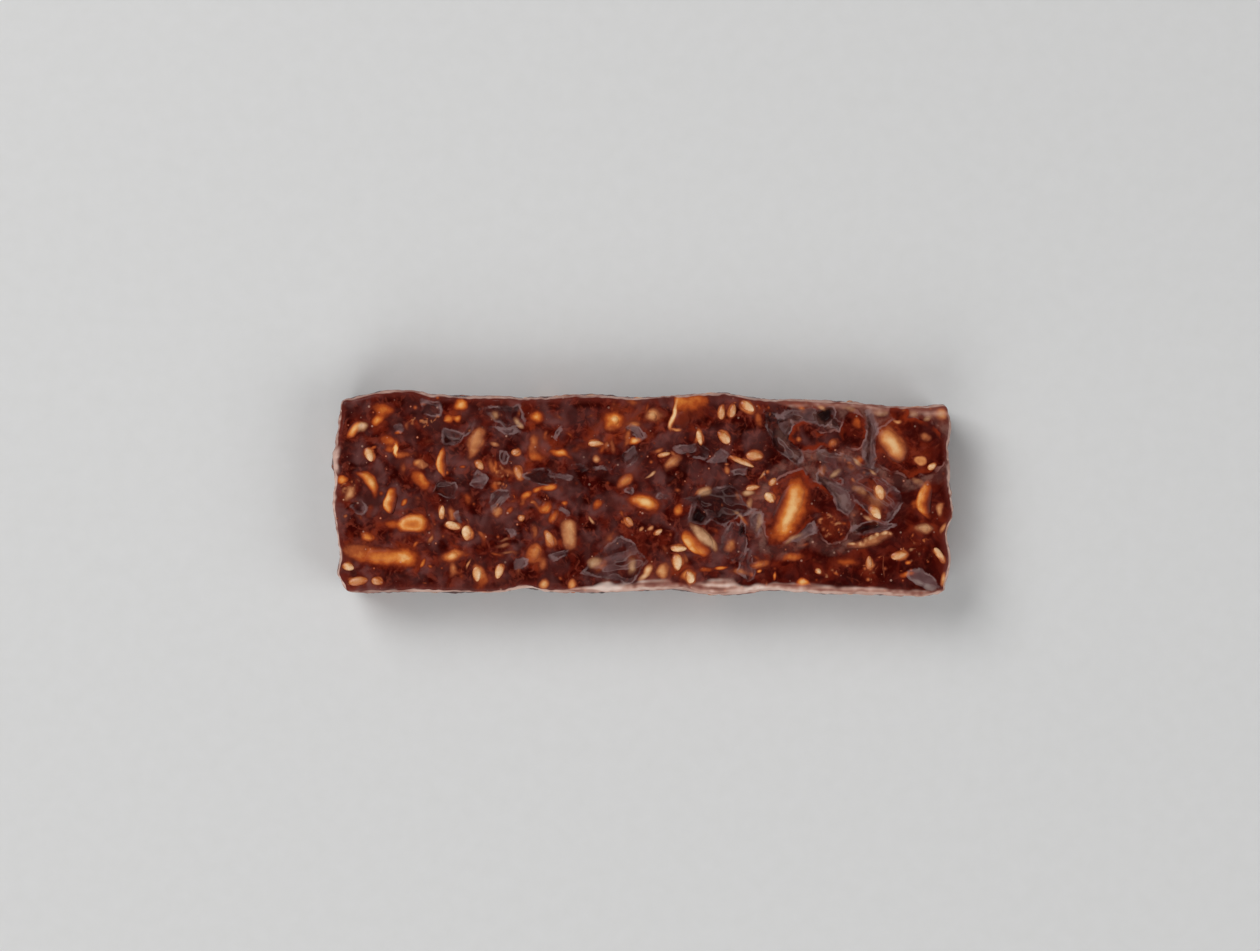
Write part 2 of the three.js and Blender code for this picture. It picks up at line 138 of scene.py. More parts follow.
# Plain pieces, as (x, y, length, width, turn, film, dull). The last seven are crumbs along nut_flake.
PLAIN_GLOWS = [
    (-43, 10.6, 1.9, 0.7, 0, 0.5, 0), (-34.2, 13.2, 1.7, 1.7, 0, 0.3, 0),
    (-32.7, 13.2, 1.6, 1.5, 0, 0.3, 0), (-32.3, 15.6, 2.5, 2, 0, 0.2, 0),
    (-53, 2.4, 2.3, 1.8, 0, 0.2, 0), (-51.8, -0.2, 3.4, 2, 60, 0.25, 0.7),
    (-42.1, -1.6, 1.8, 1, 20, 0.5, 0), (-44.3, -5.3, 3.6, 1.8, 0, 0.6, 0),
    (-38.6, -12.3, 2.3, 0.8, 60, 0.3, 0), (-30.6, -12.5, 2.4, 0.5, 60, 0.3, 0.6),
    (-26.2, 8.6, 1.8, 1.2, -20, 0.4, 0.7), (-26.1, 13.7, 2.4, 2, 70, 0.5, 0.9),
    (-21.9, 12.4, 2.6, 1, -55, 0.2, 1), (-8.2, 6.1, 1.7, 1.5, 0, 0.25, 0.6),
    (-16.6, 1, 3.6, 1.6, 12, 0.2, 0), (-18.8, 0.5, 2, 1.2, 20, 0.4, 0),
    (-20.6, -0.3, 2.4, 1.4, 35, 0.4, 0), (-13.9, -1.6, 1.6, 1.1, 0, 0.5, 0),
    (-25.8, -3.4, 2.3, 1.9, 0, 0.4, 0.5), (-24.2, -8.4, 3.4, 0.8, 12, 0.9, 0.8),
    (-24.6, -9.4, 4.2, 0.9, 8, 0.85, 0.8), (-23.6, -10.5, 4.4, 0.8, 4, 0.9, 0.8),
    (-8.9, -4.6, 1.9, 0.6, -55, 0.1, 0.8), (-7.8, -2.1, 3.2, 2.2, 50, 0.7, 0),
    (-19.2, -6.8, 3.4, 1.9, 80, 0.85, 0.4), (-17.6, -16.1, 2.6, 1.8, 70, 0.2, 0.4),
    (-12.5, -16, 2.4, 1.6, 60, 0.15, 0.3), (-8.5, -12.3, 2.4, 1.8, 60, 0.1, 0.9),
    (-1.6, -12.9, 3.4, 1.8, 70, 0.3, 1), (1, -13.6, 3.2, 1.5, 60, 0, 0.6),
    (0.2, -14.8, 2.6, 1.2, 30, -0.1, 0.9), (13.8, -13.2, 2.6, 1, 0, 0.35, 0),
    (11.2, -13.4, 3.6, 1.4, 0, 0.9, 0), (52.6, -2.9, 2.6, 1.5, 80, 0.3, 0.6),
    (53.2, -5.9, 2.4, 1.2, 80, 0.4, 0.5), (-1.5, 9.1, 2.6, 1.3, 10, 0.1, 0),
    (1.2, 3.2, 2.2, 0.5, 35, 0.1, 0.9), (15, 3.8, 1.9, 1.2, 90, 0.5, 0.4),
    (21.3, 3.4, 2.6, 0.6, 60, 0.3, 0.7), (10.8, 0.3, 3, 1.9, 25, 0.2, 0.9),
    (19, -1.8, 2.2, 1.5, 80, 0.4, 0.9), (6.4, -3, 2.8, 1.9, 70, 0.5, 0),
    (0.1, -6.2, 1.2, 0.9, 60, 0.3, 0.6), (1.7, -6.1, 1.6, 0.9, 45, 0.2, 0.6),
    (15.7, -9.2, 3.6, 2.2, 60, 0.5, 0.4), (16.9, -4.1, 2.8, 0.9, -40, 0.4, 1),
    (20.7, -13.9, 1, 0.8, 0, 0.1, 0), (20.4, -5, 4, 1.2, 82, 0.25, 1),
    (26.9, -7.8, 4.6, 1.2, 35, 0.3, 1), (18.6, -0.1, 2.4, 1.1, 5, 0, 1),
    (23.6, -14.6, 1.9, 0.8, 85, 0.3, 0), (26.4, -11.3, 5.2, 2, 8, 0.65, 0),
    (28.4, -15.9, 2.2, 1.9, 0, 0, 0), (41.6, -1.6, 5.2, 3.2, -30, 0.75, 0.6),
    (49.9, -6, 3.6, 1.3, -5, 0.35, 0.9), (38, 5.5, 2.4, 0.8, -30, 0.1, 0.8),
    (40.7, 3.6, 2, 0.7, -30, 0.1, 0.8), (46.8, -12.1, 1.5, 0.9, 0, 0.4, 0),
    (42.6, -12.6, 5, 0.4, 86, 0.5, 0.5), (53.2, -15, 2.8, 1.4, 80, 0.1, 0.3),
    (48.3, -2, 3, 2.2, 70, 0.95, 0), (49.7, 9.9, 2.7, 2.1, -30, 0.7, 0.5),
    (48.7, 2, 3, 1.2, -30, 0.5, 0.8), (44.9, 12.8, 1.9, 0.8, 0, 0, 0.5),
    (52.9, 13.7, 2.7, 2.3, 0, 0.15, 0.4), (39.9, -4.8, 2.8, 1, -35, 0.3, 0.9),
    (38.2, 0.3, 4.2, 2.4, -30, 0.6, 0.8), (31.7, 4.1, 3.4, 2.6, 80, 0.65, 0.3),
    (34.2, 3.4, 2.4, 1.2, 40, 0.3, 1), (38.4, 5.9, 2, 1.4, 0, 0.7, 0),
    (37.6, 12.6, 3, 1.9, -60, 0.75, 0), (46.6, -14.6, 3, 1.4, 10, 0.5, 0),
    (31.6, 14.9, 2.8, 1.2, -35, 0.35, 0.8), (36.2, 15, 3, 1.2, -20, 0.4, 0.9),
    (42.1, 14.4, 2.8, 2, 0, 0.5, 1), (47.8, 14.2, 2.4, 1.8, 0, 0.35, 1),
    (50.6, 13.3, 2.2, 1.2, 30, 0.35, 1),
    (36.9, -9.2, 1.5, 0.6, 20, 0.1, 0.7), (38.3, -8.8, 1.2, 0.8, -30, 0, 0.8),
    (39.4, -8.2, 1, 0.8, 60, 0.05, 0.7), (40.4, -7.9, 1.3, 0.7, 10, -0.1, 0.8),
    (41.5, -7.5, 0.9, 0.8, 80, -0.1, 0.7), (42.5, -7.2, 1.2, 0.8, 30, -0.1, 0.8),
    (43.4, -7.1, 0.8, 0.7, 0, 0, 0.8),
]
SHAPED_GLOWS = [
    Sunk(-45.9, 14.8, 4.6, 2.6, -10, 0.7, 0.8, 3.0, tilt=-0.2),
    Sunk(-46.8, 13.0, 2.7, 1.8, 20, 0.1, 1.2, 1.6),
    Sunk(-43.4, 7.8, 2.7, 0.8, 92, -0.1, 1.2, 4.0),
    Sunk(-44.7, 7.9, 2.6, 1.6, 5, 0.7, lean=-0.2),
    Sunk(-39.2, 5.1, 3.6, 1.7, -10, 0.7, 0.9, 5.0, tilt=-0.2, dull=0.6),
    Sunk(-39.2, 2.2, 4.6, 2.7, -50, 0.7, 0.9, 4.0, tilt=-0.35),
    Sunk(-50.8, -10.2, 6.0, 3.0, -4, 0.75, 0.8, 2.4, dull=0.3),
    Sunk(-41.9, -11.4, 4.2, 3.4, 0, 0.2, 1.2, 1.5),
    Sunk(-33.6, -11.1, 5.0, 1.4, 12, 0.4, 0.9, 1.6, dull=0.2),
    Sunk(-18.9, 6.4, 3.8, 2.1, -40, 0.6, tilt=-0.2),
    Sunk(-14.7, 7.0, 3.4, 1.5, 3, 0.25, 1.0, 2.0),
    Sunk(-18.9, 13.5, 2.6, 2.4, 0, 0.1, 1.2, 1.2),
    Sunk(-5.3, 12.7, 4.6, 3.8, 20, 0.15, 1.3, 1.1),
    Sunk(-18.8, -10.8, 3.8, 3.2, 60, 0.65, 0.7, 3.0, tilt=-0.4, dull=0.2),
    Sunk(3.6, -13.9, 3.2, 2.4, 70, 0.25, lean=-0.3, dull=0.5),
    Sunk(1.8, 13.7, 3.8, 2.2, 0, 0.35, 1.0, 1.6, dull=0.6),
    Sunk(5.6, 13.9, 5.8, 0.9, 80, -0.3, 1.2, 2.4, bow=0.2, dull=0.4),
    Sunk(6.1, 11.2, 1.6, 0.6, -12, 0.1, 1.1, 2.4, dull=0.4),
    Sunk(8.7, 16.3, 6.6, 3.4, 2, 0.7, 0.6, 4.0, lean=0.25, tilt=-0.3, square=1),
    Sunk(10.9, -7.8, 6.8, 2.1, -47, 0.25, 0.9, 4.0, tilt=0.2, dull=1.0),
    Sunk(33.6, -5.9, 4.4, 4.0, 0, 1.4, 0.4, 2.0),
    Sunk(-49.7, 11.8, 1.9, 1.3, 40, -0.1, 1.0, 2.0, dull=1.0),
    Sunk(36.1, -12.2, 6.2, 2.4, 0, 0.8, 1.0, 1.3),
    Sunk(48.9, 5.7, 2.1, 1.8, 0, 0.15, 1.2, 4.0, core=0.4, dull=0.4),
]

# Clusters of tiny bits, as (x, y, half their spread along X, half along Y, count)
CLUSTERS = [
    (-38.4, 12.6, 2.3, 1.2, 24), (-51.6, 0.8, 1.8, 1.4, 14), (-24.9, 2.8, 1.4, 2.0, 24),
    (33.6, -5.8, 2.2, 2.2, 26), (36.4, -14.2, 5.0, 1.6, 16), (47.6, -10.6, 2.4, 3.4, 14),
]

# The nut pieces that lie in sockets in the top
NUTS = {
    "nut_centre": Sunk(25.5, -2.6, 13.6, 5.6, 71, -0.1, 1.9, 1.3, lean=0.1, tilt=0.3, bow=-1.6),
    "nut_right": Sunk(44.1, 8.6, 7.8, 4.8, -56, -0.1, 1.8, 1.7, dull=0.3),
    "nut_oval": Sunk(-40.7, -5.4, 5.8, 3.4, 2, -0.1, 1.3, 3.0, core=0.6, tilt=-0.1),
    "nut_long": Sunk(-46.0, -11.3, 12.6, 3.4, -3, 0.4, 1.2, 1.5, lean=-0.4),
    "nut_chunk": Sunk(8.2, 13.6, 6.2, 5.6, 0, 1.3, 0.5, 8.0, lean=0.15, tilt=-0.45),
    "nut_split": Sunk(9.4, -9.0, 6.0, 2.5, -44, 0.65, 0.4, 8.0, lean=0.1, tilt=0.8),
    "nut_middle": Sunk(0.3, -1.8, 6.2, 3.2, -13, -0.2, 1.7, 1.4),
    "nut_crescent": Sunk(-48.5, 1.8, 5.2, 1.8, -52, 0.1, 1.0, 2.0, tilt=-0.3, bow=0.8),
    "nut_upright": Sunk(-35.3, 5.4, 4.8, 1.7, 90, 0.75, 0.3, 6.0, tilt=-0.9, bow=0.3),
    "nut_olive": Sunk(-29.5, 8.9, 6.4, 2.9, 70, 0.4, 1.0, 2.4, lean=-0.15, dull=0.5),
    "nut_block": Sunk(-13.2, -7.5, 5.2, 2.7, 90, 0.35, 0.9, 3.0, lean=-0.2, tilt=0.2, dull=0.6, square=1),
    "nut_rim": Sunk(50.3, -1.2, 6.0, 2.3, 88, 0.75, 0.4, 6.0, tilt=-0.95, bow=0.7),
    "nut_drop": Sunk(-44.3, -1.1, 4.0, 1.9, 84, 0.7, 0.35, 6.0, lean=0.3, tilt=-0.9, bow=0.2),
    "nut_corner": Sunk(-51.0, 11.2, 3.8, 1.5, 46, 0.1, 1.1, 2.0),
    "nut_flake": Sunk(39.9, -8.5, 8.2, 1.6, 17, 0.65, 0.8, 2.0, lean=-0.1, bow=-0.2, dull=0.6),
}

# Sesame seeds and nut chips
SEED_SIZE = (2.9, 1.8, 1.0)
SEED_TAPER = 0.35
SEED_PROUD = 0.3
CHIP_LONGEST = 3.6
CHIP_SHORTEST = 1.9
CHIP_THICK = 1.6
CHIP_PROUD = 0.3
CHIP_UNEVEN = 0.12
WALL_STEP = 8.2
WALL_LEVELS = (0.3, 0.68, 0.46)
CHIP_EVERY = 4
TURN_STEP = 137.5

# Seeds on the top, as (x, y, turn in degrees, length, width, tone): tone is 0 for cream, 1 for brown
TOP_SEEDS = [
    (-48.3, 6.8, -70, 2.9, 1.8, 0.2), (-33.5, -5.8, -20, 3.2, 1.8, 0.5), (-31, -7.2, -85, 3, 2.1, 0.4),
    (-29.3, -14.2, -85, 3.1, 1.9, 0.3), (-25.3, -13.8, -105, 3, 1.8, 0.4), (-16.3, -8.1, -65, 2.8, 1.7, 0.8),
    (-8.2, 8.7, 0, 3, 1.3, 0.7), (-21.9, 3.6, -70, 2.5, 1.6, 1.1), (-28.8, 4.9, -50, 2.1, 1.6, 0.8),
    (14, 14.3, 85, 2.8, 1.5, 0.8), (15.9, 14.5, 75, 2.8, 1.5, 0.8), (18.6, 15.2, -35, 3.2, 1.8, 0.4),
    (10.1, 9.8, -78, 2.9, 1.3, 0.4), (14.4, 9.8, 135, 3.1, 2, 0.6), (19.7, 6.5, -5, 3.2, 1.9, 0.8),
    (17.5, 5.6, -24, 4.9, 1.2, 0.7), (19.5, 0.9, 10, 2.7, 1.1, 0.7), (22.5, -0.9, -50, 2.4, 1.8, 0.3),
    (6.3, -9.8, 0, 3.2, 1.5, 0.3), (6.1, -12.2, -85, 3.1, 2.1, 0.2), (8.4, -14.9, 110, 2.7, 1.9, 0.2),
    (42, 0.1, -72, 3.1, 1.9, 0.4), (41.2, -3.8, -65, 3.5, 2.3, 0.2), (45.3, -11, 15, 3.2, 1.8, 0.7),
    (52.5, -11, -55, 3.3, 1.4, 0.5), (51.1, 4.7, 30, 1.8, 1.4, 0.1), (-52, -13, -20, 2.3, 1.7, 0.4),
    (-50.2, -15.6, 10, 3.6, 1.9, 1), (-46.8, -15.6, -15, 2.2, 1.6, 1), (-35.4, -3.4, 85, 2.7, 1.3, 0.5),
    (3.8, 6.8, 12, 2.5, 1, 0.6), (-22.4, 7.3, 20, 1.8, 1.3, 1), (-2.3, -5.1, -50, 2.1, 1.4, 1.1),
    (2.8, -6.9, 35, 1.8, 1.1, 0.7), (23, 2, 50, 1.9, 1.3, 0.8), (-21.3, -4.4, 35, 1.4, 1.3, 1),
    (40, -12.3, 88, 2.6, 1.4, 0.9), (31, -13.8, -40, 1.3, 1.2, 0.4),
]
# Chips on the top, as (x, y, turn in degrees, film, dull). The chips in the walls take the last two in turn.
TOP_CHIPS = [
    (-4.9, 12.8, 20, 0.1, 0), (-17.2, -2.4, 60, 0.4, 0), (-15.6, -4.1, 80, 0.6, 0),
    (5.4, 5.4, 40, 0.4, 0.5), (1.7, 13.6, 0, 0.3, 0.5), (-48.6, -7.7, -10, 0.3, 0),
    (-33.5, -11.2, 18, 0.3, 0.1), (-3.1, 2.2, 45, 0.35, 0.2), (33.8, 8.8, -8, 0.6, 0.3),
    (49.7, -6.2, 0, 0.45, 0.7), (-18.9, -10.8, 70, 0.8, 0.3), (20.5, -12.5, 10, 0.5, 0.2),
]

# Light that comes up through the paste
LIGHT_LOSS = 3.0  # how fast it fades with the paste over a piece
MOST_COVER = 4.0  # paste that hides everything
LIGHT_REACH = 4.0  # how far beyond a piece it is followed
GLOW_REACH = 1.6  # how far it warms the paste round a large piece

# How far outlines are moved about, and the seed of the noise that moves them
HOLLOW_STRAY = (0.45, 11)
SUNK_STRAY = (0.35, 15)

# Kinds of piece that are spread by seeded draws: what all of a kind share, and what is drawn for each of
# them, in this order, as (what, least, most, power). A drawn width is a share of the length.
Kind = namedtuple("Kind", "shared drawn")
BIT = Kind({"fall": 0.9, "edge": 1.6}, [
    ("length", 0.8, 4.2, 2), ("width", 0.25, 0.75, 1), ("film", 0.5, 1.5, 1), ("lean", -0.35, 0.35, 1),
    ("tilt", -0.35, 0.35, 1), ("dull", 0, 0.5, 1), ("turn", 0, 180, 1),
])
CRUMB = Kind({}, [
    ("length", 0.5, 1.1, 1), ("width", 0.5, 0.9, 1), ("turn", 0, 180, 1), ("film", 0.45, 1.1, 1),
    ("dull", 0.2, 1, 1),
])
CHUNK = Kind({"fall": 1.1, "edge": 2.8}, [
    ("length", 2.4, 6.5, 1), ("width", 0.4, 0.65, 1), ("film", 0.1, 1.2, 1), ("tilt", -0.35, 0.35, 1),
    ("dull", 0, 1, 2), ("turn", 0, 180, 1),
])
TOP_BITS = 320
UNDER_BITS = 300
UNDER_CHUNKS = 70
WALL_BITS_PER_MM = 0.5
WALL_CHUNKS_PER_MM = 0.2
BITS_SPREAD = (53, 16.5)  # half the length and width that they are spread over
CHUNKS_SPREAD = (52, 15.5)
TOP_DRAW = 71
CLUSTER_DRAW = 72
WALL_DRAW = 80
UNDER_DRAW = 91

# The view: straight down, with the bar's middle a little right of and below the frame's middle
FRAME_WIDTH = 222.5
VIEW_MIDDLE = (-2.2, 3.1)
LENS = 100.0
SENSOR = 36.0


# Numbers

def smooth(value, low, high):
    """0 below low and 1 above high, eased between them."""
    share = np.clip((value - low) / (high - low), 0, 1)
    return share * share * (3 - 2 * share)


def lattice_value(cell, seed):
    """A fixed random number from 0 to 1 for each whole-numbered place."""
    mixed = np.sin(cell @ np.array([127.1, 311.7, 74.7]) + 17.3 * seed) * 43758.5453
    return mixed - np.floor(mixed)


def noise(points, size, seed):
    """Smooth random waves of about the given size, from -1 to 1."""
    place = points / size
    cell = np.floor(place)
    part = place - cell
    ease = part * part * (3 - 2 * part)
    total = np.zeros(len(points))
    for corner in itertools.product((0, 1), repeat=3):
        weight = np.prod(np.where(corner, ease, 1 - ease), axis=1)
        total += weight * lattice_value(cell + corner, seed)
    return 2 * total - 1


def flat(x, y):
    """Points in the plane of the top."""
    return np.column_stack([x, y, np.zeros_like(x)])


def waves(x, y):
    """Slow, uneven waves between about -1 and 1."""
    across = np.sin(0.21 * x + 0.9 * np.sin(0.17 * y)) * np.cos(0.31 * y - 0.4)
    return 0.7 * across + 0.45 * np.sin(0.53 * x - 0.37 * y + 1.3)


def turned(x, y, piece):
    """Places along and across a piece that lies turned in its face."""
    angle = math.radians(piece.turn)
    along = (x - piece.x) * math.cos(angle) + (y - piece.y) * math.sin(angle)
    across = (y - piece.y) * math.cos(angle) - (x - piece.x) * math.sin(angle)
    return along, across


def strayed(x, y, amount, seed):
    """Places moved about unevenly, so that what is drawn there has no smooth outline."""
    here = flat(x, y)
    across = noise(here, 2.4, seed) + 0.45 * noise(here, 1.0, seed + 1)
    up = noise(here, 2.4, seed + 2) + 0.45 * noise(here, 1.0, seed + 3)
    return x + amount * across, y + amount * up


# The block's outline and top

def edge_at(side, along):
    """Distance of an edge from the middle, eased between its listed places."""
    places, reaches = np.array(EDGES[side], float).T
    after = np.clip(np.searchsorted(places, along), 1, len(places) - 1)
    share = smooth((along - places[after - 1]) / (places[after] - places[after - 1]), 0, 1)
    return reaches[after - 1] + share * (reaches[after] - reaches[after - 1])


def outside_oval(x, y, oval):
    """Distance outside an oval's outline, negative inside it."""
    u, v = turned(x, y, oval)
    reach = np.maximum(np.hypot(u / (oval.length / 2), v / (oval.width / 2)), 1e-6)
    slope = np.maximum(np.hypot(u / (oval.length / 2) ** 2, v / (oval.width / 2) ** 2), 1e-6)
    return reach * (reach - 1) / slope


def outside_patch(x, y, patch):
    """Distance outside an uneven patch with dull corners, negative inside it."""
    u, v = turned(x, y, patch)
    reach = np.zeros_like(x)
    for side in range(PATCH_SIDES):
        angle = math.tau / PATCH_SIDES * (side + 0.35 * math.sin(3.1 * side + patch.x))
        span = 0.86 + 0.12 * math.sin(2.3 * side + 1.7 * patch.y)
        facing = math.cos(angle) * u / (patch.length / 2) + math.sin(angle) * v / (patch.width / 2)
        reach = np.maximum(reach, facing / span)
    return (reach - 1) * patch.width / 2


def lump_field(x, y):
    """Distance outside the nearest lump."""
    return np.min([outside_oval(x, y, lump) for lump in LUMPS], axis=0)


def hollow_fields(x, y):
    """Depth of the hollows, distance outside the nearest one's outline, and that one's grey and veil."""
    across, up = strayed(x, y, *HOLLOW_STRAY)
    on_lump = lump_field(across, up)
    depth = np.zeros_like(x)
    nearest = np.full_like(x, FAR)
    grey = np.zeros_like(x)
    veil = np.zeros_like(x)
    for h in HOLLOWS:
        outside = np.maximum(outside_patch(across, up, h), -on_lump)
        depth = np.maximum(depth, h.depth * smooth(-outside, -0.1, 0.3 + 0.5 * h.depth))
        grey = np.where(outside < nearest, h.grey, grey)
        veil = np.where(outside < nearest, h.veil, veil)
        nearest = np.minimum(nearest, outside)
    return depth, nearest, grey, veil


def folds(x, y):
    """Streaks that run along each hollow, from -1 to 1, which set the painted reflection and highlights in
    it.
    """
    across, up = strayed(x, y, *HOLLOW_STRAY)
    streaks = np.zeros_like(x)
    for number, h in enumerate(HOLLOWS):
        near = outside_patch(across, up, h) < 0.3
        u, v = turned(across[near], up[near], h)
        streaks[near] = noise(flat(0.3 * u, v) + 20 * number, 0.7, 55)
    return streaks


def top_at(x, y):
    """Height of the top over the underside."""
    ripple = 0.1 * noise(flat(x, y), 3.2, 21) + 0.05 * noise(flat(x, y), 1.2, 22)
    return HEIGHT + TOP_SWELL * (waves(x, y) - 1) + ripple - hollow_fields(x, y)[0]


# What shows through the paste

def cover_of(x, y, piece):
    """Paste over one sunk piece; long ones are blunt at their ends."""
    along, across = turned(x, y, piece)
    share = along / (piece.length / 2)
    side = (across - piece.bow * (0.5 - share ** 2)) / (piece.width / 2)
    blunt = 1 + smooth(piece.length, 5, 12) + piece.square
    reach = np.hypot(np.abs(share) ** blunt, side)
    slant = piece.lean * np.clip(share, -1, 1) + piece.tilt * np.clip(side, -1, 1)
    core = piece.core * np.clip(1 - (reach / 0.6) ** 2, 0, 1)
    return piece.film + slant + core + piece.fall * np.minimum(reach, 2.5) ** piece.edge


def seen_through(x, y, pieces):
    """Paste over the pieces where their light adds up, how dull they are, and how warm the paste is."""
    x, y = strayed(x, y, *SUNK_STRAY)
    light = np.full_like(x, math.exp(-LIGHT_LOSS * MOST_COVER))
    dull = np.zeros_like(x)
    warm = np.zeros_like(x)
    for piece in pieces:
        margin = piece.length + LIGHT_REACH
        near = (abs(x - piece.x) < margin) & (abs(y - piece.y) < margin)
        added = np.exp(-LIGHT_LOSS * cover_of(x[near], y[near], piece))
        light[near] += added
        dull[near] += added * piece.dull
        beyond = np.maximum(outside_oval(x[near], y[near], piece), 0)
        glow = min(1, piece.width / 3) * math.exp(-0.8 * max(piece.film, 0))
        warm[near] += glow * np.exp(-beyond / (GLOW_REACH * min(1, 0.3 + piece.width / 5)))
    return -np.log(light) / LIGHT_LOSS, dull / light, 1 - np.exp(-warm)


def draws(seed):
    """A function that draws a number between two others, the same ones in every run."""
    return np.random.default_rng(seed).uniform


def spread(kind, count, half, draw, middle=(0, 0)):
    """Sunk pieces of one kind, spread about a middle."""
    pieces = []
    for _ in range(count):
        x, y = [m + h * draw(-1, 1) for m, h in zip(middle, half)]
        drawn = {what: least + (most - least) * draw() ** power for what, least, most, power in kind.drawn}
        drawn["width"] *= drawn["length"]
        pieces.append(Sunk(x, y, **kind.shared, **drawn))
    return pieces


def clear_of_nuts(piece):
    """Whether a piece lies clear of the nuts, so that none of them looks branched."""
    x, y = np.array([piece.x]), np.array([piece.y])
    return all(outside_oval(x, y, nut)[0] > piece.length / 2 + 0.4 for nut in NUTS.values())


def wall_places():
    """The seeds and chips of each wall: wall, place along it, height, turn and whether it is a chip."""
    number = 0
    for wall, run in (("front", LENGTH), ("right", WIDTH), ("back", LENGTH), ("left", WIDTH)):
        count = math.floor(run / WALL_STEP) - 1
        for step in range(count):
            along = (step - (count - 1) / 2) * WALL_STEP
            height = HEIGHT * WALL_LEVELS[number % len(WALL_LEVELS)]
            yield wall, along, height, number * TURN_STEP - 90, number % CHIP_EVERY == 0
            number += 1


def chip_length(number):
    """Chips come in four lengths, in turn."""
    return CHIP_SHORTEST + (CHIP_LONGEST - CHIP_SHORTEST) * (number % 4) / 3


def top_sunk():
    """Everything that shows through the top."""
    nuts = list(NUTS.values())
    seeds = [
        Sunk(x, y, length, width, turn, 0.4, 0.9, 3.0, dull=0.3)
        for x, y, turn, length, width, _ in TOP_SEEDS
    ]
    chips = [
        Sunk(x, y, chip_length(i), CHIP_SHORTEST, turn, film, 0.9, 2.0, dull=dull)
        for i, (x, y, turn, film, dull) in enumerate(TOP_CHIPS)
    ]
    glows = [Sunk(*row[:6], dull=row[6]) for row in PLAIN_GLOWS] + SHAPED_GLOWS
    small = [bit for bit in spread(BIT, TOP_BITS, BITS_SPREAD, draws(TOP_DRAW)) if clear_of_nuts(bit)]
    draw = draws(CLUSTER_DRAW)
    for x, y, half_x, half_y, count in CLUSTERS:
        small += spread(CRUMB, count, (half_x, half_y), draw, (x, y))
    return nuts + seeds + chips + glows + small


def wall_sunk(wall):
    """Everything that shows through one wall, in its own plane."""
    run = LENGTH if wall in ("front", "back") else WIDTH
    seed = WALL_DRAW + len(wall)
    sunk = []
    for number, (name, along, height, turn, chip) in enumerate(wall_places()):
        if name == wall:
            length = chip_length(number) if chip else SEED_SIZE[0]
            sunk.append(Sunk(along, height, length, CHIP_SHORTEST, turn, 0.4, 1.0, 2.8))
    half = (run / 2, HEIGHT / 2)
    middle = (0, HEIGHT / 2)
    sunk += spread(BIT, round(run * WALL_BITS_PER_MM), half, draws(seed), middle)
    return sunk + spread(CHUNK, round(run * WALL_CHUNKS_PER_MM), half, draws(seed + 1), middle)


def under_sunk():
    """Everything that shows through the underside."""
    small = spread(BIT, UNDER_BITS, BITS_SPREAD, draws(UNDER_DRAW))
    return small + spread(CHUNK, UNDER_CHUNKS, CHUNKS_SPREAD, draws(UNDER_DRAW + 1))


# The paste mesh

def grid_places():
    """Whole-numbered places of the top grid and, row by row, of the walls below it."""
    top = np.array(list(itertools.product(range(CELLS_ALONG + 1), range(CELLS_ACROSS + 1))))
    front = [(i, 0) for i in range(CELLS_ALONG)]
    right = [(CELLS_ALONG, j) for j in range(CELLS_ACROSS)]
    back = [(CELLS_ALONG - i, CELLS_ACROSS) for i in range(CELLS_ALONG)]
    left = [(0, CELLS_ACROSS - j) for j in range(CELLS_ACROSS)]
    return top, np.array(front + right + back + left)


def paste_faces(ring):
    """Quads of the top and the walls, and the points round the underside."""
    columns = CELLS_ACROSS + 1
    i, j = np.meshgrid(np.arange(CELLS_ALONG), np.arange(CELLS_ACROSS), indexing="ij")
    corner = (i * columns + j).ravel()
    top = np.column_stack([corner, corner + columns, corner + columns + 1, corner + 1])
    first = (CELLS_ALONG + 1) * columns
    rows = [ring[:, 0] * columns + ring[:, 1]]
    rows += [first + row * len(ring) + np.arange(len(ring)) for row in range(CELLS_UP)]
    walls = [
        np.column_stack([low, np.roll(low, -1), np.roll(high, -1), high]) for high, low in zip(rows, rows[1:])
    ]
    return top.tolist() + np.vstack(walls).tolist(), rows[-1]


def rounded(box_points):
    """Points on a box's surface, brought in to a box with rounded edges."""
    inner = np.clip(box_points, EDGE_RADIUS - HALF, HALF - EDGE_RADIUS)
    out = box_points - inner
    return inner + EDGE_RADIUS * out / np.linalg.norm(out, axis=1, keepdims=True)


def paste_points(top, ring):
    """The points of the block's top and walls, and their places in the plain box that it is made from."""
    shares = [np.column_stack([top, np.full(len(top), CELLS_UP)])]
    shares += [np.column_stack([ring, np.full(len(ring), row)]) for row in range(CELLS_UP - 1, -1, -1)]
    grid = 2 * np.vstack(shares) / (CELLS_ALONG, CELLS_ACROSS, CELLS_UP) - 1
    points = rounded(grid * HALF)
    x, y, z = points.T
    x = x * np.where(x < 0, edge_at("left", y), edge_at("right", y)) / HALF[0]
    y = y * np.where(y < 0, edge_at("front", points[:, 0]), edge_at("back", points[:, 0])) / HALF[1]
    lift = z / HEIGHT + 0.5
    out = SIDE_SWELL * np.sin(math.pi * lift) * waves(2.3 * x + 40 * lift, 2.3 * y)
    rough = np.column_stack([x, y, HEIGHT * lift])
    out += RAGGED * noise(rough, 2.4, 31) + 0.7 * RAGGED * noise(rough, 0.9, 32) - WALL_LEAN * (1 - lift)
    x = x + np.sign(x) * out * grid[:, 0] ** END_FADE
    y = y + np.sign(y) * out * grid[:, 1] ** SIDE_FADE
    return np.column_stack([x, y, lift * top_at(x, y)]), grid * HALF


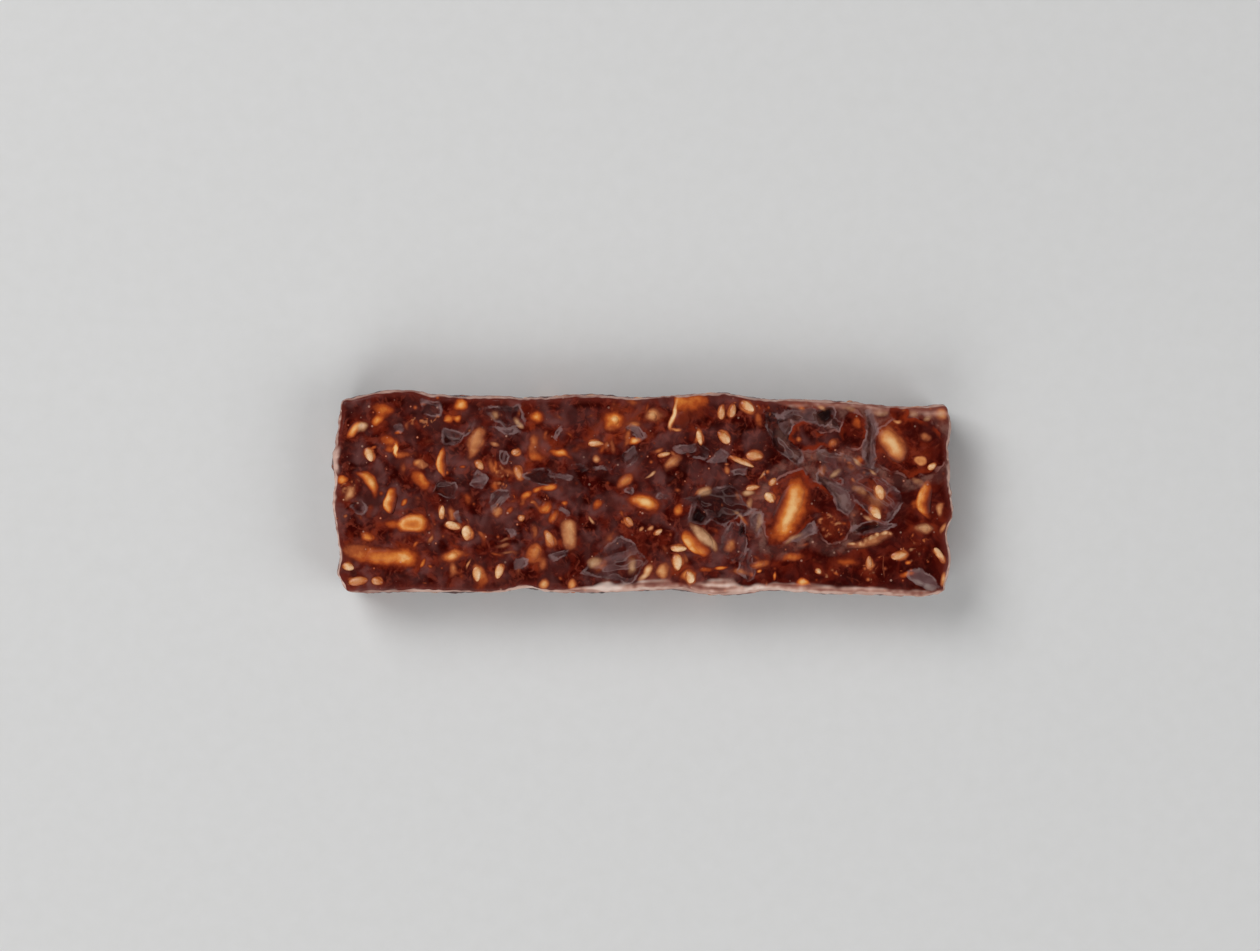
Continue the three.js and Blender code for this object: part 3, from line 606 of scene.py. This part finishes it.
def underside(points, border):
    """Points spread over the flat underside inside its border, and triangles that fill it."""
    rim = points[border, :2]
    low, high = rim.min(axis=0) + UNDER_MARGIN, rim.max(axis=0) - UNDER_MARGIN
    rows = [np.arange(start, end, UNDER_STEP) for start, end in zip(low, high)]
    inner = np.array(list(itertools.product(*rows)))
    inner += 0.25 * UNDER_STEP * np.column_stack([noise(flat(*inner.T), 0.7, seed) for seed in (35, 36)])
    outline = [(i, (i + 1) % len(rim)) for i in range(len(rim))]
    every = [Vector(place) for place in np.vstack([rim, inner]).tolist()]
    _, _, triangles, _, _, _ = delaunay_2d_cdt(every, outline, [], 1, 1e-6)
    numbers = np.concatenate([border, len(points) + np.arange(len(inner))])
    return flat(*inner.T), numbers[np.array(triangles)[:, ::-1]].tolist()


def wall_planes(points):
    """For each wall, the points' places along it and up it, and their distance in from it."""
    x, y, z = points.T
    lean = WALL_LEAN * (1 - z / HEIGHT)
    return {
        "front": (x, z, y + edge_at("front", x) - lean),
        "right": (y, z, edge_at("right", y) - x - lean),
        "back": (-x, z, edge_at("back", x) - y - lean),
        "left": (-y, z, x + edge_at("left", y) - lean),
    }


def paste_cover(points):
    """What seen_through says at each point, for the nearest of the top, the underside and the walls."""
    x, y, z = points.T
    faces = [(x, y, np.maximum(top_at(x, y) - z, 0), top_sunk()), (x, y, z, under_sunk())]
    for wall, (along, up, inward) in wall_planes(points).items():
        faces.append((along, up, np.maximum(inward, 0), wall_sunk(wall)))
    nearest = np.full_like(x, FAR)
    cover = np.full_like(x, MOST_COVER)
    dull = np.zeros_like(x)
    warm = np.zeros_like(x)
    for along, up, inward, sunk in faces:
        near = inward < np.minimum(nearest, NEAR)
        nearest[near] = inward[near]
        seen, dull[near], warm[near] = seen_through(along[near], up[near], sunk)
        cover[near] = seen + 0.9 * inward[near]
    return cover, dull, warm


def pale_rim(places):
    """Painted highlights along the upper edges, as pale bands, their streaks and a pale lip all round, and
    painted light through the edge, the red just inside it.

    Places are those of the block before its outline was made uneven. All four run from 0 to 1.
    """
    x, y, z = places.T
    inward = {"front": y + HALF[1], "back": HALF[1] - y, "left": x + HALF[0], "right": HALF[0] - x}
    wider = 0.9 * smooth(abs(x - 13.2), 5, 3) + 0.8 * smooth(abs(x + 1.5), 8, 5)
    wider += smooth(abs(x + 22), 2.5, 1)
    widths = {
        "front": 0.2 + 1.4 * smooth(x, -18, -8) + wider,
        "back": 0.1 + 1.8 * smooth(x, 20, 27) + 1.2 * smooth(x, 39, 43),
        "left": 0.1 + 1.4 * smooth(abs(y - LEFT_BULGE), 4, 1),
        "right": np.full_like(x, 0.3),
    }
    stray = 1 + 0.6 * noise(places * (0.3, 0.3, 1), 2.0, 41) + 0.3 * noise(places, 1.6, 42)
    low = 2.2 + 1.3 * noise(places * (0.4, 0.4, 1), 2.0, 52) + 0.8 * noise(places, 1.1, 53)
    high = smooth(HALF[2] - z, np.maximum(low, 1.2), 0.4) * (1 - 0.5 * smooth(HALF[2] - z, 0.6, 1.8))
    pale = np.zeros_like(x)
    for wall, distance in inward.items():
        pale = np.maximum(pale, np.clip(1 - distance / (widths[wall] * stray), 0, 1))
    nearest = np.min(list(inward.values()), axis=0)
    reach = 0.05 + 0.35 * noise(places, 2.2, 43) + 0.25 * noise(places, 0.8, 44)
    lip = smooth(nearest, reach + 0.35, reach - 0.1)
    lip *= 0.55 + 0.4 * noise(places, 3.4, 49)
    bulge = smooth(abs(y - LEFT_BULGE), 3.0, 1.4) * smooth(inward["left"], 1.4, 0.5)
    lip = np.maximum(lip, 0.8 * bulge)
    # Painted light through the edge: the red just inside the lip.
    red = smooth(nearest, 2.0 + 0.8 * noise(places, 4.0, 50), 0.2)
    streak = 0.5 + 0.45 * noise(places * (0.12, 1.5, 1), 0.8, 47) + 0.15 * noise(places, 0.7, 48)
    streak -= 0.25 * smooth(y, 0, 5)
    return pale * high, np.clip(streak, 0, 1), lip * high, red * high


def wetness(x, y):
    """How wet and red the paste is, from 0 to 1: all of each lump, and patches elsewhere; where it is low the
    paste gets a painted hazy reflection.
    """
    across, up = strayed(x, y, *HOLLOW_STRAY)
    patches = 0.4 + 0.5 * noise(flat(x, y), 9, 45) + 0.25 * noise(flat(x, y), 4, 46) + 0.01 * x
    return np.clip(np.maximum(patches, smooth(-lump_field(across, up), -0.3, 0.6)), 0, 1)


# Meshes

def make_object(name, points, faces, attributes, material):
    """A smooth mesh object from millimetre points, with one number for each point in each attribute."""
    mesh = bpy.data.meshes.new(name)
    mesh.from_pydata((points * MM).tolist(), [], faces)
    for label, values in attributes.items():
        layer = mesh.attributes.new(label, "FLOAT", "POINT")
        layer.data.foreach_set("value", np.asarray(values, np.float32))
    mesh.polygons.foreach_set("use_smooth", np.ones(len(mesh.polygons), bool))
    mesh.materials.append(material)
    made = bpy.data.objects.new(name, mesh)
    bpy.context.scene.collection.objects.link(made)
    return made


def make_paste(material):
    """The paste block, with what its material needs to know at each point."""
    top, ring = grid_places()
    points, places = paste_points(top, ring)
    faces, border = paste_faces(ring)
    under, under_faces = underside(points, border)
    points = np.vstack([points, under])
    places = np.vstack([places, under - (0, 0, HALF[2])])
    x, y, z = points.T
    on_top = smooth(places[:, 2], HALF[2] - 2.5, HALF[2] - 0.6)
    depth, outside, grey, veil = hollow_fields(x, y)
    ridge = lump_field(*strayed(x, y, *HOLLOW_STRAY))
    outside, ridge = [np.where(on_top > 0.5, np.clip(d, -NEAR, NEAR), NEAR) for d in (outside, ridge)]
    cover, dull, warm = paste_cover(points)
    rim, streak, lip, red = pale_rim(places)
    attributes = {
        "cover": cover,
        "dull": dull,
        "warm": warm,
        "outside": outside,
        "grey": grey * on_top,
        "veil": veil * on_top,
        # Painted shade: how dark a deep, dark hollow is painted.
        "deep_shade": smooth(depth, 0.75, 1.3) * smooth(grey, 0.25, 0.05) * on_top,
        "folds": folds(x, y),
        "ridge": ridge,
        "rim": rim,
        "streak": streak,
        "lip": lip,
        "red": red,
        "wet": wetness(x, y + z),
    }
    return make_object("paste", points, faces + under_faces, attributes, material)


def unit_ball(rings, sides):
    """Points and faces of a ball of radius 1 with its poles on X."""
    points = [(-1.0, 0.0, 0.0)]
    for ring in range(1, rings):
        lean = math.pi * ring / rings
        out = math.sin(lean)
        for side in range(sides):
            angle = 2 * math.pi * side / sides
            points.append((-math.cos(lean), out * math.cos(angle), out * math.sin(angle)))
    points.append((1.0, 0.0, 0.0))
    faces = []
    for side in range(sides):
        after = (side + 1) % sides
        faces.append((0, 1 + after, 1 + side))
        for ring in range(rings - 2):
            low = 1 + ring * sides
            faces.append((low + side, low + after, low + sides + after, low + sides + side))
        last = 1 + (rings - 2) * sides
        faces.append((last + side, last + after, len(points) - 1))
    return np.array(points), faces


def wall_frame(wall):
    """Directions along, up and out of a wall."""
    out = {"front": (0, -1, 0), "right": (1, 0, 0), "back": (0, 1, 0), "left": (-1, 0, 0)}[wall]
    up = (0, 0, 1)
    return np.array([np.cross(up, out), up, out], float)


def top_laid(x, y, turn, sink):
    """Directions and place of a piece laid in the top."""
    angle = math.radians(turn)
    along = np.array([math.cos(angle), math.sin(angle), 0])
    up = np.array([0.0, 0.0, 1.0])
    here = top_at(np.array([x]), np.array([y]))[0]
    return np.array([along, np.cross(up, along), up]), np.array([x, y, here - sink])


def wall_laid(wall, along, height, turn, sink):
    """Directions and place of a piece set in a wall."""
    side, up, out = wall_frame(wall)
    reach = along if wall in ("front", "right") else -along
    distance = edge_at(wall, np.array([reach]))[0] - WALL_LEAN * (1 - height / HEIGHT) - sink
    angle = math.radians(turn)
    first = math.cos(angle) * side + math.sin(angle) * up
    return np.array([first, np.cross(out, first), out]), along * side + height * up + distance * out


def joined(shapes, faces):
    """One list of points and one of faces for many pieces of one build."""
    count = len(shapes[0])
    every = [tuple(number * count + i for i in face) for number in range(len(shapes)) for face in faces]
    return np.vstack(shapes), every


def make_seeds(material):
    """All sesame seeds: oval lenses, blunt at one end and pointed at the other."""
    ball, faces = unit_ball(12, 14)
    length, width, thick = SEED_SIZE
    sink = thick / 2 - SEED_PROUD
    seeds = [(*seed[3:], top_laid(*seed[:3], sink)) for seed in TOP_SEEDS]
    for number, (*place, chip) in enumerate(wall_places()):
        if not chip:
            scale = 0.9 + 0.2 * math.sin(number * 2.4)
            seeds.append((scale * length, scale * width, number * 0.618 % 1, wall_laid(*place, sink)))
    taper = 1.04 - SEED_TAPER * ((ball[:, 0] + 1) / 2) ** 1.4
    shapes = []
    for length, width, _, (directions, middle) in seeds:
        seed = ball * (length, width, thick) / 2
        seed[:, 1] *= taper
        shapes.append(seed @ directions + middle)
    points, every = joined(shapes, faces)
    number = np.arange(len(shapes))[:, None]
    slant = 0.4 * np.sin(2.4 * number) * ball[:, 1] + 0.4 * np.cos(1.7 * number) * ball[:, 0]
    crown = np.clip(ball[:, 2], 0, 1) + slant
    tone = np.repeat([seed[2] for seed in seeds], len(ball))
    return make_object("seeds", points, every, {"crown": crown.ravel(), "tone": tone}, material)


def make_chips(sunk, material):
    """All nut chips: blunt lumps with broken sides. Those on the top lie under the paste's own cover."""
    ball, faces = unit_ball(12, 14)
    sink = CHIP_THICK / 2 - CHIP_PROUD
    places = [(chip_length(i), *top_laid(*chip[:3], sink)) for i, chip in enumerate(TOP_CHIPS)]
    places += [
        (chip_length(number), *wall_laid(*place, sink))
        for number, (*place, chip) in enumerate(wall_places())
        if chip
    ]
    shapes = []
    for number, (length, directions, middle) in enumerate(places):
        chip = ball * (length, CHIP_SHORTEST, CHIP_THICK) / 2
        chip[:, 1] *= 1 + CHIP_UNEVEN * ball[:, 0]
        chip *= 1 + CHIP_UNEVEN * noise(chip + 10 * number, 0.9, 51)[:, None]
        shapes.append(chip @ directions + middle)
    points, every = joined(shapes, faces)
    films, dulls = np.array([TOP_CHIPS[i % len(TOP_CHIPS)][3:] for i in range(len(places))]).T
    cover = np.add.outer(films, 0.7 * (1 - np.clip(ball[:, 2], 0, 1))).ravel()
    dull = np.repeat(dulls, len(ball))
    top = slice(len(TOP_CHIPS) * len(ball))
    cover[top], dull[top], _ = seen_through(points[top, 0], points[top, 1], sunk)
    return make_object("chips", points, every, {"cover": cover, "dull": dull}, material)


def refined(node):
    """A node's mesh in millimetres with its facets split and rounded."""
    mesh = bmesh.new()
    mesh.from_mesh(node.data)
    bmesh.ops.remove_doubles(mesh, verts=mesh.verts, dist=1e-6)
    bmesh.ops.subdivide_edges(mesh, edges=mesh.edges, cuts=3, smooth=1.0, use_grid_fill=True)
    mesh.verts.ensure_lookup_table()
    points = np.array([vertex.co for vertex in mesh.verts]) / MM
    faces = [tuple(vertex.index for vertex in face.verts) for face in mesh.faces]
    mesh.free()
    return points, faces


def make_nut(name, sunk, material):
    """One nut piece in its socket, a little uneven."""
    points, faces = refined(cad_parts[name])
    middle = points.mean(axis=0)
    points = middle + (points - middle) * (1 + 0.04 * noise(points, 1.6, 61)[:, None])
    cover, dull, _ = seen_through(points[:, 0], points[:, 1], sunk)
    return make_object(f"{name}_flesh", points, faces, {"cover": cover, "dull": dull}, material)


# Materials

def linear(colour):
    """A colour's red, green and blue screen levels, from 0 to 255, as the values that a shader takes."""
    levels = np.array(colour) / 255
    values = np.where(levels > 0.04045, ((levels + 0.055) / 1.055) ** 2.4, levels / 12.92)
    return (*values.tolist(), 1.0)


class Shader:
    """A material's node tree, with a short call for each kind of node it uses.

    Colours are given as red, green and blue screen levels from 0 to 255.
    """

    def __init__(self, name):
        self.material = bpy.data.materials.new(name)
        self.material.use_nodes = True
        self.tree = self.material.node_tree

    def put(self, socket, value):
        """Links a socket's value, or sets it."""
        if isinstance(value, bpy.types.NodeSocket):
            self.tree.links.new(value, socket)
        elif isinstance(value, tuple):
            socket.default_value = linear(value)
        else:
            socket.default_value = value

    def add(self, kind, **inputs):
        """A new node, with the named inputs linked or set."""
        node = self.tree.nodes.new(f"ShaderNode{kind}")
        for name, value in inputs.items():
            self.put(node.inputs[name.replace("_", " ").title()], value)
        return node

    def place(self):
        return self.add("TexCoord").outputs["Object"]

    def number(self, attribute):
        node = self.add("Attribute")
        node.attribute_name = attribute
        return node.outputs["Fac"]

    def noise(self, size, detail=4.0, roughness=0.55, distortion=0.0):
        """Noise from 0 to 1 whose patches are about size millimetres wide."""
        node = self.add("TexNoise", vector=self.place(), scale=1 / (size * MM), detail=detail)
        self.put(node.inputs["Roughness"], roughness)
        self.put(node.inputs["Distortion"], distortion)
        return node.outputs["Fac"]

    def cells(self, size):
        """Distance from the nearest of scattered points, and that point's own random colour."""
        node = self.add("TexVoronoi", vector=self.place(), scale=1 / (size * MM))
        return node.outputs["Distance"], node.outputs["Color"]

    def math(self, operation, first, second=0.0):
        node = self.add("Math")
        node.operation = operation
        self.put(node.inputs[0], first)
        self.put(node.inputs[1], second)
        return node.outputs[0]

    def times(self, first, second):
        return self.math("MULTIPLY", first, second)

    def span(self, value, low, high, start=0.0, end=1.0):
        """Start where the value is low, end where it is high, eased between."""
        node = self.add("MapRange", value=value, from_min=low, from_max=high, to_min=start, to_max=end)
        node.interpolation_type = "SMOOTHSTEP"
        return node.outputs["Result"]

    def jitter(self, attribute, size, detail, amount):
        """An attribute's value, moved up and down by noise."""
        change = self.span(self.noise(size, detail), 0.3, 0.7, -amount, amount)
        return self.math("ADD", self.number(attribute), change)

    def ramp(self, value, stops):
        """Colours for a value: stops are (value, colour), in order."""
        low = stops[0][0]
        high = stops[-1][0]
        share = self.add("MapRange", value=value, from_min=low, from_max=high)
        node = self.add("ValToRGB", fac=share.outputs["Result"])
        points = node.color_ramp.elements
        while len(points) < len(stops):
            points.new(0.5)
        for point, (at, colour) in zip(points, stops):
            point.position = (at - low) / (high - low)
            point.color = linear(colour)
        return node.outputs["Color"]

    def mix(self, share, first, second):
        node = self.add("Mix")
        node.data_type = "RGBA"
        self.put(node.inputs["Factor"], share)
        self.put(node.inputs["A"], first)
        self.put(node.inputs["B"], second)
        return node.outputs["Result"]

    def finished(self, colour, roughness, specular=0.5, grain=None, strength=0.2, height=0.1):
        """The material with its surface set, and with bumps, height in millimetres, if it has a grain."""
        surface = self.tree.nodes["Principled BSDF"].inputs
        self.put(surface["Base Color"], colour)
        self.put(surface["Roughness"], roughness)
        self.put(surface["Specular IOR Level"], specular)
        if grain:
            bump = self.add("Bump", strength=strength, distance=height * MM, height=grain)
            self.put(surface["Normal"], bump.outputs["Normal"])
        return self.material


# Nut flesh under more and more paste, golden or dull
GOLDEN = [
    (-0.4, (252, 218, 158)),
    (0.0, (244, 189, 124)),
    (0.35, (222, 130, 57)),
    (0.75, (176, 78, 33)),
    (1.25, (116, 40, 21)),
    (2.0, (64, 14, 10)),
]
DULL = [
    (-0.3, (238, 198, 166)),
    (0.2, (206, 157, 118)),
    (0.7, (155, 103, 72)),
    (1.2, (112, 60, 44)),
    (2.0, (72, 24, 17)),
]


def flesh_colour(s, cover):
    """Colour of nut flesh under a given cover of paste."""
    return s.mix(s.number("dull"), s.ramp(cover, GOLDEN), s.ramp(cover, DULL))


def sunk_bits(s):
    """Cover of fine bits, of two sizes, spread all through the paste."""
    least = MOST_COVER
    for size, rarity in ((1.9, 0.45), (1.1, 0.6)):
        distance, colour = s.cells(size)
        cover = s.math("ADD", s.times(distance, 4.5), s.span(colour, rarity, 0.9, 2.6, 0.3))
        least = s.math("MINIMUM", cover, least)
    return least


def paste_body(s, fibres):
    """Bare paste: deep red-brown, warmer where light comes up through it, with a painted hazy reflection
    where it is less wet.
    """
    warm = s.times(s.number("warm"), 0.85)
    warm = s.math("ADD", warm, s.span(s.noise(3.0, 3, 0.5, 0.8), 0.36, 0.64, 0.0, 0.4))
    body = s.ramp(warm, [
        (0.1, (40, 2, 0)),
        (0.5, (64, 8, 4)),
        (0.75, (94, 24, 12)),
        (1.0, (138, 50, 24)),
        (1.25, (168, 78, 38)),
    ])
    wet = s.number("wet")
    mottled = s.span(wet, 0.6, 1.0, 0.58, 0.15)
    # Mottling, lighter and near-black; the near-black patches are painted shade of crevices between pieces,
    # laid at random.
    patches = [
        (s.span(fibres, 0.52, 0.7, 0.0, 0.6), (134, 54, 38)),
        (s.span(fibres, 0.48, 0.32, 0.0, 0.9), (34, 1, 0)),
        (s.span(s.noise(1.7, 3, 0.55, 0.8), 0.53, 0.67), (132, 54, 38)),
        (s.span(s.noise(2.3, 3, 0.55, 0.8), 0.46, 0.34), (36, 2, 1)),
    ]
    for share, colour in patches:
        body = s.mix(s.times(share, mottled), body, colour)
    # Painted light through the edge: paste reddened just inside the lip.
    body = s.mix(s.times(s.number("red"), 0.6), body, (126, 50, 40))
    # Painted reflection: a purplish haze over the paste where it is less wet.
    painted_haze = s.span(s.noise(3.8, 2, 0.5, 0.5), 0.36, 0.7)
    painted_haze = s.times(painted_haze, s.span(wet, 0.9, 0.0, 0.1, 0.8))
    return s.mix(painted_haze, body, s.mix(s.span(s.noise(5.0, 2), 0.4, 0.6), (76, 37, 34), (112, 68, 65)))


def here_and_there(s, distance, width, size, share):
    """How strongly a thin broken line shows, given the distance from it."""
    line = s.span(s.math("ABSOLUTE", distance), width, 0.3 * width)
    return s.times(line, s.span(s.noise(size, 2), 0.44, 0.6, 0.0, share))


def behind_film(s, body, outside):
    """Paste in a hollow: drier, under a painted hazy reflection with painted highlights along its folds, and
    painted shade where it is deep.
    """
    painted_haze = s.times(s.number("grey"), 0.5)
    painted_haze = s.math("ADD", painted_haze, s.span(s.noise(2.6, 2, 0.5, 1.0), 0.36, 0.64, -0.15, 0.2))
    # Painted shade: a dark hollow is painted darker in its middle and lighter at its edge.
    edge = s.span(outside, -1.0, -0.1, -0.25, 0.15)
    painted_haze = s.math("ADD", painted_haze, s.times(edge, s.span(s.number("grey"), 0.8, 0.3, 0.3)))
    folds = s.number("folds")
    streaks = s.span(folds, -0.5, 0.6, -0.4, 0.4)
    painted_haze = s.math("ADD", painted_haze, s.times(streaks, s.span(s.number("veil"), 0.6, 0.9, 0.4)))
    # The paste, drier and darker, under a painted hazy reflection, palest where that reflection is strongest.
    dry = s.mix(0.45, body, (42, 21, 21))
    dry = s.mix(painted_haze, dry, (124, 95, 95))
    dry = s.mix(s.span(painted_haze, 0.9, 1.4), dry, (172, 152, 146))
    # Painted highlights along the folds.
    crease_highlight = here_and_there(s, s.math("SUBTRACT", folds, 0.2), 0.2, 3.0, 0.3)
    dry = s.mix(crease_highlight, dry, (170, 144, 140))
    # Painted shade where a dark hollow is deep.
    return s.mix(s.number("deep_shade"), dry, (24, 11, 12))


def round_lumps(s, body):
    """Paste with wet lumps: painted light through their edges, painted highlights as pale lines round them,
    and a painted grey reflection between them.
    """
    ridge = s.jitter("ridge", 1.4, 2, 0.2)
    # Painted light through the lumps' edges.
    lit = s.times(s.span(ridge, -1.3, -0.4, 0.0, 0.6), s.span(ridge, 0.0, -0.3))
    lit = s.times(lit, s.span(s.noise(4.5, 2), 0.4, 0.6))
    body = s.mix(lit, body, (150, 50, 22))
    # A painted grey reflection between the lumps.
    between = s.times(s.span(ridge, 0.0, 0.6), s.span(ridge, 2.8, 1.2, 0.0, 0.45))
    grey = s.mix(s.span(s.noise(2.2, 3), 0.4, 0.64), (86, 52, 48), (150, 106, 94))
    body = s.mix(between, body, grey)
    # Painted highlights: broken pale lines round the lumps.
    return s.mix(here_and_there(s, ridge, 0.3, 4.0, 0.65), body, (154, 104, 96))


def painted_edge_highlights(s, body):
    """Paste with painted highlights along its upper edges: pale, streaky bands and a lip."""
    rim = s.times(s.number("rim"), s.span(s.number("ridge"), -0.4, 0.1))
    streak = s.number("streak")
    # Colours of the painted highlight, from its streaks' dark to light.
    edge_highlight_colour = s.ramp(streak, [(0.2, (162, 98, 84)), (0.5, (216, 168, 150)), (0.8, (244, 218, 206))])
    body = s.mix(s.times(s.span(rim, 0.0, 0.5), s.span(streak, 0.2, 0.7, 0.4, 0.9)), body, edge_highlight_colour)
    return s.mix(s.number("lip"), body, (222, 186, 172))


def with_painted_glints(s, body):
    """Paste with tiny painted glints, as pale dots."""
    for spacing in (1.7, 1.1):
        distance, colour = s.cells(spacing)
        painted_glint = s.times(s.span(distance, 0.16, 0.06, 0.0, 0.6), s.span(colour, 0.65, 0.95))
        body = s.mix(painted_glint, body, (208, 160, 140))
    return body


def paste_material():
    """Glossy cocoa paste, lit up by what lies just under it, greyed in its hollows by a painted reflection,
    with painted highlights at its rim.
    """
    s = Shader("cocoa_paste")
    fibres = s.noise(1.3, 3, 0.5, 1.0)
    body = paste_body(s, fibres)
    cover = s.math("MINIMUM", s.jitter("cover", 1.3, 3, 0.15), sunk_bits(s))
    body = s.mix(s.span(cover, 2.0, 0.8), body, flesh_colour(s, cover))
    body = round_lumps(s, body)
    outside = s.jitter("outside", 1.2, 2, 0.15)
    inside = s.times(s.span(outside, 0.15, -0.2), s.span(outside, 0.0, -1.2, 0.7, 1.0))
    inside = s.times(inside, s.span(cover, 0.1, 1.1, 0.4, 1.0))
    inside = s.times(inside, s.number("veil"))
    body = s.mix(inside, body, behind_film(s, body, outside))
    # Painted highlights: broken pale lines along the hollows' outlines.
    body = s.mix(here_and_there(s, outside, 0.28, 2.4, 0.45), body, (158, 128, 126))
    body = with_painted_glints(s, painted_edge_highlights(s, body))
    return s.finished(body, s.span(inside, 0.0, 0.8, 0.2, 0.4), 0.07, fibres, height=0.12)


def nut_material():
    """Nut flesh: cream where bare, orange to red under the paste that wets its edges."""
    s = Shader("nut_flesh")
    crumbly = s.times(s.number("dull"), s.span(s.noise(1.2, 2), 0.35, 0.65, -0.1, 0.1))
    cover = s.math("ADD", s.jitter("cover", 1.3, 3, 0.1), crumbly)
    return s.finished(flesh_colour(s, cover), 0.35, 0.1, s.noise(0.8, 4))


def seed_material():
    """Hulled sesame: cream, browner round its outline where paste wets it."""
    s = Shader("sesame")
    tone = s.number("tone")
    crown = s.math("SUBTRACT", s.jitter("crown", 0.6, 3, 0.15), s.span(tone, 0.2, 1.2, 0.0, 0.2))
    hull = s.ramp(crown, [
        (0.0, (150, 62, 22)), (0.4, (196, 108, 48)), (0.7, (226, 160, 102)), (1.1, (246, 206, 162)),
    ])
    hull = s.mix(s.span(tone, 0.3, 1.2, 0.0, 0.65), hull, (190, 98, 44))
    return s.finished(hull, 0.35, grain=s.noise(0.6, 3), strength=0.15, height=0.08)


def floor_material():
    """A pale matt floor with a faint grain."""
    s = Shader("pale_floor")
    return s.finished(s.mix(s.noise(3, 4), (222, 222, 221), (228, 228, 228)), 0.8)


# Stage

def make_floor():
    bpy.ops.mesh.primitive_plane_add(size=4)
    floor = bpy.context.object
    floor.name = "floor"
    floor.data.materials.append(floor_material())


def area_light(name, place, size, power):
    """A soft square light aimed at the bar."""
    light = bpy.data.lights.new(name, "AREA")
    light.size = size
    light.energy = power
    lamp = bpy.data.objects.new(name, light)
    lamp.location = place
    lamp.rotation_euler = (-Vector(place)).to_track_quat("-Z", "Y").to_euler()
    bpy.context.scene.collection.objects.link(lamp)


def light_scene():
    """Large soft lights round the bar, and little light from straight above."""
    world = bpy.data.worlds.new("soft_room")
    world.use_nodes = True
    world.node_tree.nodes["Background"].inputs["Color"].default_value = (1.0, 1.0, 1.0, 1.0)
    world.node_tree.nodes["Background"].inputs["Strength"].default_value = 0.08
    bpy.context.scene.world = world
    area_light("key", (-0.6, 0.55, 0.8), 0.7, 7.6)
    area_light("fill", (0.8, -0.3, 0.75), 0.8, 4.2)
    area_light("front", (-0.3, -0.8, 0.7), 0.8, 4.2)
    bpy.context.scene.view_settings.view_transform = "Standard"


def make_camera():
    """Straight down, from far enough that the walls don't show."""
    camera = bpy.data.objects.new("camera", bpy.data.cameras.new("camera"))
    camera.data.lens = LENS
    camera.data.sensor_width = SENSOR
    distance = FRAME_WIDTH * LENS / SENSOR
    camera.location = (VIEW_MIDDLE[0] * MM, VIEW_MIDDLE[1] * MM, (HEIGHT + distance) * MM)
    bpy.context.scene.collection.objects.link(camera)
    bpy.context.scene.camera = camera


def dress():
    """Makes every piece, hides the model's parts that they replace, and attaches each to the root."""
    paste = make_paste(paste_material())
    flesh = nut_material()
    sunk = top_sunk()
    pieces = [(paste, "paste"), (make_seeds(seed_material()), "nut"), (make_chips(sunk, flesh), "nut")]
    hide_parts("bar")
    for name in NUTS:
        nut = make_nut(name, sunk, flesh)
        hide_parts(name)
        pieces.append((nut, "nut"))
    for piece, slot in pieces:
        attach(piece, "root")


dress()
make_floor()
light_scene()
make_camera()
